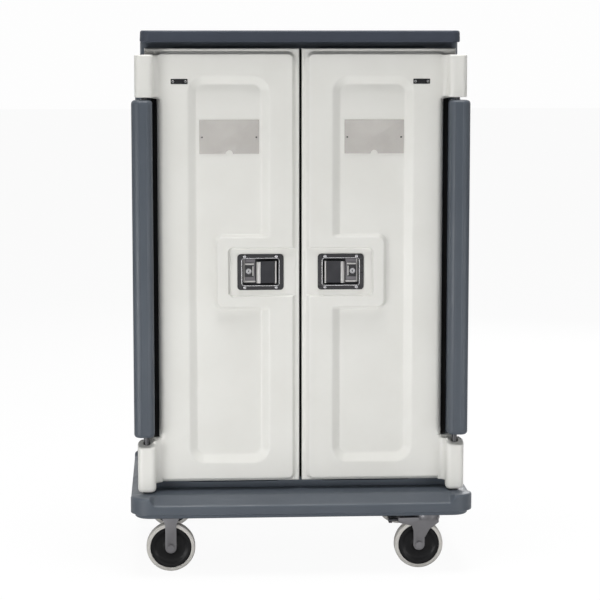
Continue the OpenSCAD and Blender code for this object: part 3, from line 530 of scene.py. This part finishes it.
# The black strip behind each post is painted shade: it darkens the gap between the post and the door.
strip = resample(np.array([[433.6, BACK_Y], [433.6, -261], [450, -261], [450, BACK_Y]]), 1.5, 2.0)
for side_name, side in SIDES.items():
    leaf = side_name + "_door_leaf"
    slab = surface(side_name + "_slab", mirrored(rings, side), sharp=40)
    knuckles = [knuckle(place, side, *sizes) for place, sizes in KNUCKLES.items()]
    coves = [cove("cove", side, low, high) for low, high in COVES]
    door = joined(side_name + "_door_moulding", slab, *knuckles, *coves)
    ride_and_replace(door, "door_cream", None, leaf, side_name + "_door")
    # A black strip in the gap behind the post: painted shade.
    gap_shade_strip = stack(side_name + "_edge_gap_shade", mirrored(strip, side), LOW_ZONE + 2, HIGH_ZONE - 2, 1.0)
    ride_and_replace(gap_shade_strip, "seal_rubber", None, leaf)
    print(side_name, "door faces", len(door.data.polygons))

# %% [markdown]
# ## The base, the roof and the posts
#
# The base and the roof are both a rounded rectangle with a shaped edge. The edge is a profile of insets and
# heights, carried once round the outline. Between the corner pads of the base the profile changes: along
# the front and the back the upper edge is cut back to a long slanted facet, which catches the light, and
# along the sides a little of it is cut. A black strip on the body behind the gap between the doors paints
# the shade in that gap.
# Each post is an outline carried upwards, joined to a web that runs to the body.

# %% Carry an edge profile round a rounded rectangle
def rectangle_path(half_x, half_y, radius, spacing=4.0, corner_steps=20):
    """Points and outward directions round a rounded rectangle, at the same angles in each corner."""
    points, normals = [], []
    for k, (cx, cy) in enumerate([(1, 1), (-1, 1), (-1, -1), (1, -1)]):
        angle = k * math.pi / 2 + np.linspace(0, math.pi / 2, corner_steps)
        direction = np.column_stack([np.cos(angle), np.sin(angle)])
        centre = np.array([cx * (half_x - radius), cy * (half_y - radius)])
        points.append(centre + radius * direction)
        normals.append(direction)
        length = 2 * ((half_x if k % 2 == 0 else half_y) - radius)
        count = max(2, int(length / spacing))
        along = np.linspace(0, length, count, endpoint=False)[1:, None]
        heading = np.array([-direction[-1][1], direction[-1][0]])
        points.append(centre + radius * direction[-1] + along * heading)
        normals.append(np.repeat(direction[-1:], count - 1, axis=0))
    return np.vstack(points), np.vstack(normals)


def edged_block(name, half_x, half_y, radius, profile, middle_y=0.0, other=None, share=None):
    """profile is inset and height at each step. Where share is above 0 the other profile takes its place, in
    that share, so the edge can change along the way."""
    path, normal = rectangle_path(half_x, half_y, radius)
    profile = np.array(profile, float)
    inset, height = (np.repeat(profile[:, k, None], len(path), axis=1) for k in (0, 1))
    if other is not None:
        weight = share(path)[None]
        inset = inset * (1 - weight) + np.array(other)[:, 0, None] * weight
        height = height * (1 - weight) + np.array(other)[:, 1, None] * weight
    x = path[:, 0] - normal[:, 0] * inset
    y = path[:, 1] - normal[:, 1] * inset + middle_y
    return surface(name, np.stack([x, y, height], axis=-1))


def arc(inset0, z0, inset1, z1, steps):
    """A quarter of an ellipse between two points of a profile, upright at the first: the inset grows as one
    less the cosine and the height as the sine."""
    t = np.linspace(0, math.pi / 2, steps)
    return [(inset0 + (inset1 - inset0) * p, z0 + (z1 - z0) * q) for p, q in zip(1 - np.cos(t), np.sin(t))]


BASE_HALF_X, BASE_HALF_Y, BASE_CORNER = 522, 400, 62
pad_top = [(0, 205), (0, 222), (0, 230), (0, 235), *arc(0, 237, 8, 245, 6), (30, 245), (37, 245), (40, 245),
    (58.5, 245)]
facet_top = [(0, 205), (0, 213), (0, 216), (0.4, 218.2), (2.4, 220.6), (8, 223.6), (16, 227.4), (25, 231.6),
    (34, 235.8), (43, 240), (49, 242.6), (53, 244.2), (56, 244.9), (58.5, 245)]
underside = [(58.5, 200), (44, 200), (30, 200), (28, 198), (28, 184), (26, 180), (17, 180),
    *arc(14, 180, 0, 194, 10)[1:]]


def shoulder(path):
    """Where the rim is slanted: fully along the front and the back, and a little along the sides."""
    x, y = np.abs(path).T
    facet_end, side_end, side_share = 464, 334, 0.42
    along_front = np.where(y > BASE_HALF_Y - 1, step(facet_end - x, 12.0, 7.0), 0.0)
    along_side = np.where(x > BASE_HALF_X - 1, step(side_end - y, 12.0, 7.0), 0.0)
    return np.maximum(along_front, side_share * along_side)


base = edged_block("base_moulding", BASE_HALF_X, BASE_HALF_Y, BASE_CORNER, underside + pad_top,
    other=underside + facet_top, share=shoulder)
ride_and_replace(base, "shell_grey", None, "cart", "base")

roof_edge = [(28, 1614), (5, 1614), *arc(2.5, 1614, 0, 1616.5, 4), (0, 1622), (0.6, 1636),
    *arc(0.8, 1642.5, 7, 1649, 8), (14, 1649), (28, 1649)]
ROOF_HALF_X, ROOF_FRONT, ROOF_REAR, ROOF_CORNER = 483, -300, 334, 30
roof = edged_block("roof_moulding", ROOF_HALF_X, (ROOF_REAR - ROOF_FRONT) / 2, ROOF_CORNER, roof_edge,
    (ROOF_FRONT + ROOF_REAR) / 2)
# The roof takes the darker copy of the shell's plastic, which paints the shade at the top.
ride_and_replace(roof, "shell_grey", roof_shade_grey, "cart", "roof")
# A black strip on the body behind the gap between the doors: painted shade in that gap.
middle_strip = resample(np.array([[-5, BODY_FRONT], [-5, -240.6], [5, -240.6], [5, BODY_FRONT]]), 0.8, 1.0)
middle_gap_shade = stack("middle_gap_shade", middle_strip, DOOR_LOW + 4, DOOR_HIGH - 4, 0.5)
ride_and_replace(middle_gap_shade, "seal_rubber", None, "cart")
print("base", len(base.data.polygons), "roof", len(roof.data.polygons), "faces")

# %% The four handle posts
def rounded_box(width, depth, radius):
    """A rectangle round the origin with round corners, as a closed outline in even steps of 1 mm."""
    x, y = width / 2 - radius, depth / 2 - radius
    corners = [circle(radius, (x * a, y * b), 14, turn, turn + math.pi / 2) for a, b, turn in
        ((-1, -1, math.pi), (1, -1, 1.5 * math.pi), (1, 1, 0), (-1, 1, math.pi / 2))]
    return resample(np.vstack(corners), 1.0, 3.0)


def post_nose(name, side, middle_y, facing):
    """A post with well rounded ends. Its front is sunk a little in an upright band, which leaves a line on
    each side of it."""
    width, depth, corner, outwards = 62.5, 80, 23, 3.5
    half_band, sunk, nearly_front = 11.8, 1.2, -36
    outline = rounded_box(width, depth, corner) + [outwards, 0]
    heights, insets = edge_steps(POST_LOW, POST_HIGH, 11.0, 10)
    rings = outline[None] - outward(outline)[None] * insets[:, None, None]
    band = step(half_band - np.abs(rings[..., 0]), 1.6, 1.2) * (outline[:, 1] < nearly_front)
    y = middle_y + facing * (rings[..., 1] + sunk * band)
    level = np.broadcast_to(heights[:, None], y.shape)
    return surface(name, mirrored(np.stack([rings[..., 0] + POST_X, y, level], axis=-1), side))


POST_X, POST_LOW, POST_HIGH, REAR_POST_Y = AXIS_X + 3, 420, 1442, 346
front_web = np.array([[470, -303], [506, -303], [506, -297], [481.8, BODY_FRONT], [470, BODY_FRONT]])
rear_web = np.array([[462, 337], [462, 334.5], [470, 330], [479, 321], [483.4, 308], [483.4, 296], [506, 296],
    [506, 346], [462, 346]])
for side_name, side in SIDES.items():
    for end_name, middle_y, facing, web in (
            ("front", AXIS_Y, 1, front_web), ("rear", REAR_POST_Y, -1, rear_web)):
        node = "%s_%s_post" % (end_name, side_name)
        piece = joined(node + "_moulding", post_nose("nose", side, middle_y, facing),
            stack("web", mirrored(resample(web, 1.5, 3.0), side), POST_LOW + 4, POST_HIGH - 4, 2.0))
        ride_and_replace(piece, "shell_grey", None, "cart", node)

# %% [markdown]
# ## Parts that keep the shape of the solid
#
# The body, the forks, plates and pedals of the casters and the catch plates are plates and boxes whose
# places the frame already has. What they lack is the small radius that every real edge has, and that
# catches a thin line of light. A copy of the solid with its edges bevelled gives that, and it stays exactly
# where the solid is.

# %% Copy a node and soften its edges
def softened(node, width, body, angle=30):
    """A copy of a node's mesh with doubles merged, flat faces joined and sharp edges bevelled by width mm."""
    mesh = nodes[node].data.copy()
    work = bmesh.new()
    work.from_mesh(mesh)
    bmesh.ops.remove_doubles(work, verts=work.verts, dist=0.00002)
    bmesh.ops.dissolve_limit(work, angle_limit=math.radians(1.0), verts=work.verts, edges=work.edges)
    sharp = [e for e in work.edges if len(e.link_faces) == 2 and e.calc_face_angle(0) > math.radians(angle)]
    bmesh.ops.bevel(work, geom=sharp, offset=width * 0.001, segments=2, profile=0.5, affect="EDGES",
        clamp_overlap=True)
    bmesh.ops.triangulate(work, faces=[f for f in work.faces if len(f.verts) > 4])
    work.to_mesh(mesh)
    work.free()
    piece = link(node + "_soft", mesh)
    mesh.shade_smooth()
    mesh.set_sharp_from_angle(angle=math.radians(28))
    ride_and_replace(piece, SLOT_OF[node], None, body, node)


softened("body_shell", 3.0, "cart", 35)
for end in ENDS:
    softened("fixed_fork_" + end, 1.2, "cart")
    softened("swivel_plate_" + end, 1.0, "cart")
    softened("swivel_fork_" + end, 1.2, "swivel_" + end)
    softened("brake_pedal_" + end, 1.4, "brake_" + end)
for side_name in SIDES:
    softened(side_name + "_catch_plate", 0.35, side_name + "_door_leaf")

# %% [markdown]
# ## Wheels
#
# A wheel is a shape turned on a lathe: a profile of radius against width, carried once round the axle. The
# core is a hard moulding with a thick hub and a thin dished web, and the tread is a softer ring cast round
# it with a slightly domed face.

# %% Turn a profile round an axle
def lathe(name, profile, centre, steps=120, hollow=True):
    """profile is radius and offset along the axle (y). If hollow, the last point joins the first one; if not,
    the profile starts and ends on the axis."""
    angle = np.linspace(0, 2 * math.pi, steps, endpoint=False)
    radius, offset = np.array(profile, float).T
    x = centre[0] + radius[:, None] * np.cos(angle)
    z = centre[2] + radius[:, None] * np.sin(angle)
    y = centre[1] + np.broadcast_to(offset[:, None], x.shape)
    return surface(name, np.stack([x, y, z], axis=-1), wrap_rings=hollow, caps=False, sharp=40)


def symmetric(half_profile):
    """The same profile on the other side of the wheel."""
    return half_profile + [(r, -y) for r, y in half_profile[::-1]]


core_profile = symmetric([(6.1, -20.4), (13, -20.4), (15.5, -19.8), (16.8, -18), (18.2, -14.6), (21, -12.6),
    (26, -11.8), (36, -11.6), (43, -12), (47, -13.4), (50, -15.6), (54, -16.8), (59, -17.2), (61.8, -17.6),
    (63, -16.6)])
tread_profile = symmetric([(63.0, -16), (63.2, -18.4), (64.4, -19), (68.5, -19), (71, -18.6), (72.8, -17.6),
    (74.0, -15.8), (74.7, -12.5), (74.9, -7)])
WHEELS = {"fixed": (-401, "fixed_roller_"), "swivel": (363, "swivel_roller_")}
AXLE_Y, AXLE_Z = 300, 75
for kind, (x, roller) in WHEELS.items():
    for end, along in ENDS.items():
        middle = (x, AXLE_Y * along, AXLE_Z)
        core = lathe(kind + "_core_" + end, core_profile, middle)
        ride_and_replace(core, "core_black", None, roller + end, kind + "_wheel_" + end)
        tread = lathe(kind + "_tread_" + end, tread_profile, middle)
        ride_and_replace(tread, "tread_grey", None, roller + end, kind + "_tyre_" + end)
print("wheels", len(WHEELS) * len(ENDS))

# %% [markdown]
# ## Latches
#
# Each latch sits in a pressed plate with a bead round its dish. In the dish a paddle is hinged near the
# door's inner edge; its free edge is rolled so that fingers can hook it. A key cylinder stands beside it in
# a small square housing. The plate is again a pile of rounded rectangles, this time running into the dish.

# %% Press the latch plate and its dish
def rounded_ring(width, height, radius, steps=8, edge=10):
    """A rounded rectangle in x and z with the same number of points whatever its size."""
    quarters = ((1, 1), (-1, 1), (-1, -1), (1, -1))
    reach = np.array([width / 2 - radius, height / 2 - radius])
    ring = []
    for k, quarter in enumerate(quarters):
        angle = k * math.pi / 2 + np.linspace(0, math.pi / 2, steps)
        bend = quarter * reach + radius * np.column_stack([np.cos(angle), np.sin(angle)])
        target = quarters[(k + 1) % 4] * reach + radius * np.array([math.cos(angle[-1]), math.sin(angle[-1])])
        ring += [bend, bend[-1] + np.linspace(0, 1, edge, endpoint=False)[1:, None] * (target - bend[-1])]
    return np.vstack(ring)


PLATE_Y = -278.5
# Width, height, corner radius and depth behind the plate's face, from the outer edge to the dish's middle.
plate_rings = [
    (140, 109, 10, 2.3), (141, 110, 10.5, 1.8), (141, 110, 10.5, 0.7), (140.4, 109.4, 10, 0.2),
    (139, 108, 9.5, 0), (120, 91, 9, 0), (117.5, 88.5, 8.5, -0.4), (115.5, 86.5, 8, -1.0),
    (113.5, 84.5, 7.6, -1.2), (111.5, 82.5, 7.2, -0.9), (110, 81, 6.9, -0.2), (109.4, 80.4, 6.7, 1.2),
    (109, 80, 6.6, 4), (108.6, 79.6, 6.4, 10), (108, 79, 6.2, 13.4), (106.6, 77.6, 6, 15), (103, 74, 5.4, 16),
    (40, 20, 4, 16.2), (2, 1.4, 0.4, 16.2)]
bead_rings = [(115.6, 86.6, 8.2, -0.5), (115.0, 86.0, 8, -1.3), (113.5, 84.5, 7.6, -1.7),
    (112.0, 83.0, 7.2, -1.3), (111.4, 82.4, 7, -0.3), (113.5, 84.5, 7.6, 0.4)]


def plate_points(rings):
    """Rounded rectangles round the latch's middle, each at its own distance behind the plate's face."""
    return np.stack([
        np.column_stack([r[:, 0] + LATCH_X, np.full(len(r), PLATE_Y + back), r[:, 1] + LATCH_Z])
        for w, h, radius, back in rings for r in [rounded_ring(w, h, radius)]])


def plate_shell():
    """The plate's front, and the same rings from the dish's rim inwards, further back by the thickness."""
    thickness, rim, dish_wall, plate_back, dish_back = 1.9, 5, 9, PLATE_Y + 2.3, PLATE_Y + 18.4
    front = plate_points(plate_rings)
    behind = front.copy()
    behind[rim:, :, 1] += thickness
    behind[dish_wall:, :, 1] = np.maximum(behind[dish_wall:, :, 1], plate_back)
    behind[:, :, 1] = np.minimum(behind[:, :, 1], dish_back)
    return np.concatenate([front, behind[rim:][::-1]])


for side_name, side in SIDES.items():
    leaf = side_name + "_door_leaf"
    plate = surface(side_name + "_latch_plate", mirrored(plate_shell(), side), wrap_rings=True, sharp=50)
    ride_and_replace(plate, "bright_steel", plate_dark, leaf, side_name + "_latch_pan")
    bead_points = mirrored(plate_points(bead_rings), side)
    bead = surface(side_name + "_latch_bead", bead_points, wrap_rings=True, sharp=60)
    ride_and_replace(bead, "bright_steel", bead_steel, leaf)
print("latch plate faces", len(plate.data.polygons), "bead faces", len(bead.data.polygons))

# %% [markdown]
# ### Lock, paddle, card sheet and screws
#
# In the outer part of the dish a small raised panel carries the square housing of the key cylinder. The
# rest is taken by the paddle: a plate hinged near the door's inner edge, whose free edge is rolled inwards
# for the fingers. The cylinder turns and the paddle tips, so each rides on its own body. The card sheet and
# all screws ride on the door. A screw head is turned on the lathe like a wheel, and shrunk where the screw
# is smaller.

# %% The lock
def block(name, side, span_x, span_z, front, back=-261.5, corner=1.6, rounding=0.7):
    """A block behind the plane front, with round corners seen from the front and rounded edges."""
    (x0, x1), (z0, z1) = span_x, span_z
    outline = rounded_box(x1 - x0, z1 - z0, corner) + [(x0 + x1) / 2, (z0 + z1) / 2]
    return stack(name, mirrored(outline, side), front, back, rounding, axis="y")


LOCK_X, LOCK_Z, CYLINDER_Y = LATCH_X + 36, LATCH_Z + 2, -267.4
CYLINDER = [(0, -6.2), (3.0, -6.2), (3.4, -5.4), (6.4, -5.4), (7.0, -6.8), (8.3, -6.8), (8.8, -6.2),
    (8.8, 14), (0, 14)]
# The keyway is a thin black block on the cylinder's face: painted shade where the key's slot is dark.
KEYWAY_X, KEYWAY_Z, KEYWAY_FRONT, KEYWAY_BACK = 1.2, 2.8, -274.2, -273.2
# Name, x from and to, z from and to (from the latch's middle), front and finish of each fixed block.
# The edge, foot and top strips stand a little proud and are light grey: painted highlights along the panel
# and the housing.
LOCK_BLOCKS = (
    ("panel", (138, 172.5), (-30, 39.5), -266.5, panel_zinc),
    ("panel_edge_highlight", (170.5, 174.5), (-32.5, 39), -268, edge_highlight_zinc),
    ("panel_foot_highlight", (137.5, 174.5), (-32.5, -27.5), -269.5, edge_highlight_zinc),
    ("housing", (143.5, 169.4), (-16, 26), -271, plate_dark),
    ("housing_edge_highlight", (143.5, 146.9), (-13, 18), -272.6, edge_highlight_zinc),
    ("housing_top_highlight", (142, 169.4), (21.3, 26.5), -272.2, edge_highlight_zinc))


def fit_lock(side_name, side):
    """The panel and the housing stay on the door; the cylinder turns, with a black mark on its face that
    paints the shade of the key's slot.
    """
    lock = side_name + "_lock"
    for part, span_x, (low, high), front, finish in LOCK_BLOCKS:
        piece = block("%s_lock_%s" % (side_name, part), side, span_x, (LATCH_Z + low, LATCH_Z + high), front)
        ride_and_replace(piece, "bright_steel", finish, side_name + "_door_leaf")
    cylinder = lathe(lock + "_cylinder", CYLINDER, (side * LOCK_X, CYLINDER_Y, LOCK_Z), 48, hollow=False)
    ride_and_replace(cylinder, "bright_steel", bead_steel, lock, lock + "_plug")
    # Painted shade: a black block for the dark slot of the keyway.
    keyway_shade = block(side_name + "_keyway", side, (LOCK_X - KEYWAY_X, LOCK_X + KEYWAY_X),
        (LOCK_Z - KEYWAY_Z, LOCK_Z + KEYWAY_Z), KEYWAY_FRONT, KEYWAY_BACK, 0.8, 0.2)
    ride_and_replace(keyway_shade, "catch_black", None, lock)


print("lock blocks", len(LOCK_BLOCKS), "cylinder radius", max(r for r, o in CYLINDER))

# %% The paddle
lip = np.linspace(0, math.radians(84), 12)
LIP_X, LIP_Y = 122.6, -266.5
paddle_plan = np.array([[80, -274.2], [80, -277.2], [123, -277.2], [123, -274.2]])
lip_plan = np.vstack([
    np.column_stack([LIP_X + 12.4 * np.sin(lip), LIP_Y - 10.9 * np.cos(lip)]),
    np.column_stack([LIP_X + 9.6 * np.sin(lip), LIP_Y - 8.1 * np.cos(lip)])[::-1]])
# Name, outline seen from above, foot and top from the latch's middle, rounding, slot, finish if it isn't the
# slot's own, and the node replaced.
# The lip and the barrel are light grey: painted highlights along the paddle's rolled edge and its hinge.
PADDLE_PARTS = (
    ("plate", resample(paddle_plan, 0.5, 1.0), -34, 33, 0.9, "paddle_black", None, "_paddle"),
    ("lip", resample(lip_plan, 0.4, 0.5), -35, 31, 0.8, "bright_steel", edge_highlight_zinc, None),
    ("barrel", circle(2.6, (75.8, -274.4)), -35, 33, 0.8, "bright_steel", edge_highlight_zinc, None))


def fit_paddle(side_name, side):
    """The plate, its rolled lip and the barrel that it is hinged by, which all tip together."""
    for part, plan, low, high, rounding, slot_name, finish, node in PADDLE_PARTS:
        piece = stack("%s_paddle_%s" % (side_name, part), mirrored(plan, side),
            LATCH_Z + low, LATCH_Z + high, rounding)
        ride_and_replace(piece, slot_name, finish, side_name + "_paddle_lever", node and side_name + node)


print("paddle parts", len(PADDLE_PARTS))

# %% The card sheet and the screws
CARD_X, CARD_SHIFT, CARD_HALF, CARD_LOW, CARD_HIGH, NOTCH_R = 220, 4, 90.5, 1278.5, 1381, 11
CARD_FRONT, CARD_BACK, STUD_HALF, STUD_Z = -271, -269.1, 82, 1328.5
CATCH_X, CATCH_HALF, CATCH_Z, PLATE_SCREW_X, PLATE_SCREW_Z = 366, 19, 1497, 48, 47.5
SCREW_HEAD = [(0, -0.5), (1.7, -0.5), (2.0, -1.7), (3.2, -1.6), (4.2, -1.0), (4.5, -0.1), (4.5, 0.6),
    (0, 0.6)]


def fit_card(side_name, middle, side):
    """A rectangle with a half-round notch for a finger in the middle of its lower edge."""
    notch = [(middle - NOTCH_R * math.cos(turn), CARD_LOW + NOTCH_R * math.sin(turn))
        for turn in np.linspace(0, math.pi, 15)]
    outline = [(middle - CARD_HALF, CARD_HIGH), (middle - CARD_HALF, CARD_LOW), *notch,
        (middle + CARD_HALF, CARD_LOW), (middle + CARD_HALF, CARD_HIGH)]
    card = stack(side_name + "_card_sheet", mirrored(resample(np.array(outline), 1.5, 0.8), side),
        CARD_FRONT, CARD_BACK, 0.4, axis="y")
    ride_and_replace(card, "clear_card", None, side_name + "_door_leaf", side_name + "_card_holder")


def fit_screws(name, side, places, share, finish, body, node=None):
    """One mesh of equal screw heads, each shrunk sideways to share, at the places x, y, z."""
    profile = [(radius * share, offset) for radius, offset in SCREW_HEAD]
    heads = [lathe("head", profile, (side * x, y, z), 24, hollow=False) for x, y, z in places]
    ride_and_replace(joined(name, *heads), "bright_steel", finish, body, node)


for side_name, side in SIDES.items():
    leaf, card_middle = side_name + "_door_leaf", CARD_X + CARD_SHIFT * side
    fit_lock(side_name, side)
    fit_paddle(side_name, side)
    fit_card(side_name, card_middle, side)
    corners = [(LATCH_X + PLATE_SCREW_X * a, PLATE_Y, LATCH_Z + PLATE_SCREW_Z * b)
        for a in (-1, 1) for b in (-1, 1)]
    fit_screws(side_name + "_screw_heads", side, corners, 1, bead_steel, leaf, side_name + "_door_screws")
    catch_ends = [(CATCH_X + CATCH_HALF * a, FACE_Y, CATCH_Z) for a in (-1, 1)]
    fit_screws(side_name + "_catch_screws", side, catch_ends, 0.62, bead_steel, leaf)
    studs = [(card_middle + STUD_HALF * a, CARD_FRONT, STUD_Z) for a in (-1, 1)]
    fit_screws(side_name + "_card_studs", side, studs, 0.6, catch_black, leaf)

# %% [markdown]
# ## Floor, light and the last measure
#
# A white floor and a white world stand in for the studio. One large lamp above, three near the floor in
# front, one further off to the left and one behind give soft light that falls off to the right, as in the
# picture. The camera sees the floor as nearly white, yet it keeps the soft shadow under the cart. Mirrors
# and clear sheet see the world white too, but it lights matt surfaces only a little, so that the shadows
# stay.

# %% Floor and lamps
def floor_finish():
    """A white matt floor with a glow that only the camera sees, so it looks white and the shadow stays."""
    material, shader = new_material("studio_floor", Roughness=0.9)
    shader.inputs["Base Color"].default_value = (0.9, 0.9, 0.9, 1)
    tree = material.node_tree
    glow = tree.nodes.new("ShaderNodeEmission")
    glow.inputs["Color"].default_value = (1, 1, 1, 1)
    glow.inputs["Strength"].default_value = 1.02
    mix = tree.nodes.new("ShaderNodeMixShader")
    rays = tree.nodes.new("ShaderNodeLightPath")
    share = tree.nodes.new("ShaderNodeMath")
    share.operation = "MULTIPLY"
    share.inputs[1].default_value = 0.93
    tree.links.new(rays.outputs["Is Camera Ray"], share.inputs[0])
    tree.links.new(share.outputs[0], mix.inputs["Fac"])
    tree.links.new(shader.outputs["BSDF"], mix.inputs[1])
    tree.links.new(glow.outputs["Emission"], mix.inputs[2])
    tree.links.new(mix.outputs[0], tree.nodes["Material Output"].inputs["Surface"])
    return material


floor_mesh = bpy.data.meshes.new("floor")
floor_mesh.from_pydata([(-30, -20, 0), (30, -20, 0), (30, 40, 0), (-30, 40, 0)], [], [(0, 1, 2, 3)])
floor = link("floor", floor_mesh)
floor.data.materials.append(floor_finish())

world = bpy.data.worlds.new("studio")
bpy.context.scene.world = world
world.use_nodes = True
sky = world.node_tree.nodes["Background"]
sky.inputs["Color"].default_value = (1, 1, 1, 1)
tree = world.node_tree
rays = tree.nodes.new("ShaderNodeLightPath")
level = tree.nodes.new("ShaderNodeMapRange")
level.inputs["To Min"].default_value, level.inputs["To Max"].default_value = 0.05, 0.985
seen = rays.outputs["Is Camera Ray"]
for kind in ("Is Glossy Ray", "Is Transmission Ray"):
    either = tree.nodes.new("ShaderNodeMath")
    either.operation = "MAXIMUM"
    tree.links.new(seen, either.inputs[0])
    tree.links.new(rays.outputs[kind], either.inputs[1])
    seen = either.outputs[0]
tree.links.new(seen, level.inputs["Value"])
tree.links.new(level.outputs["Result"], sky.inputs["Strength"])
bpy.context.scene.view_settings.view_transform = "Standard"


def lamp(name, place, size, power):
    """A square area lamp that faces the middle of the cart and isn't seen itself."""
    data = bpy.data.lights.new(name, "AREA")
    data.size, data.energy = size, power
    thing = bpy.data.objects.new(name, data)
    thing.location = place
    thing.rotation_euler = (Vector((0, -0.2, 0.85)) - Vector(place)).to_track_quat("-Z", "Y").to_euler()
    thing.visible_camera = False
    bpy.context.scene.collection.objects.link(thing)


lamp("top", (0, -0.6, 5.0), 2.4, 208)
lamp("low_left", (-2.2, -2.4, 0.12), 1.6, 70)
lamp("low_right", (2.2, -2.4, 0.12), 1.6, 38)
lamp("low_middle", (0, -2.4, 0.12), 1.6, 7)
lamp("left", (-4.0, -4.4, 0.9), 1.6, 18)
lamp("back", (1.8, 4.6, 2.4), 2.4, 70)
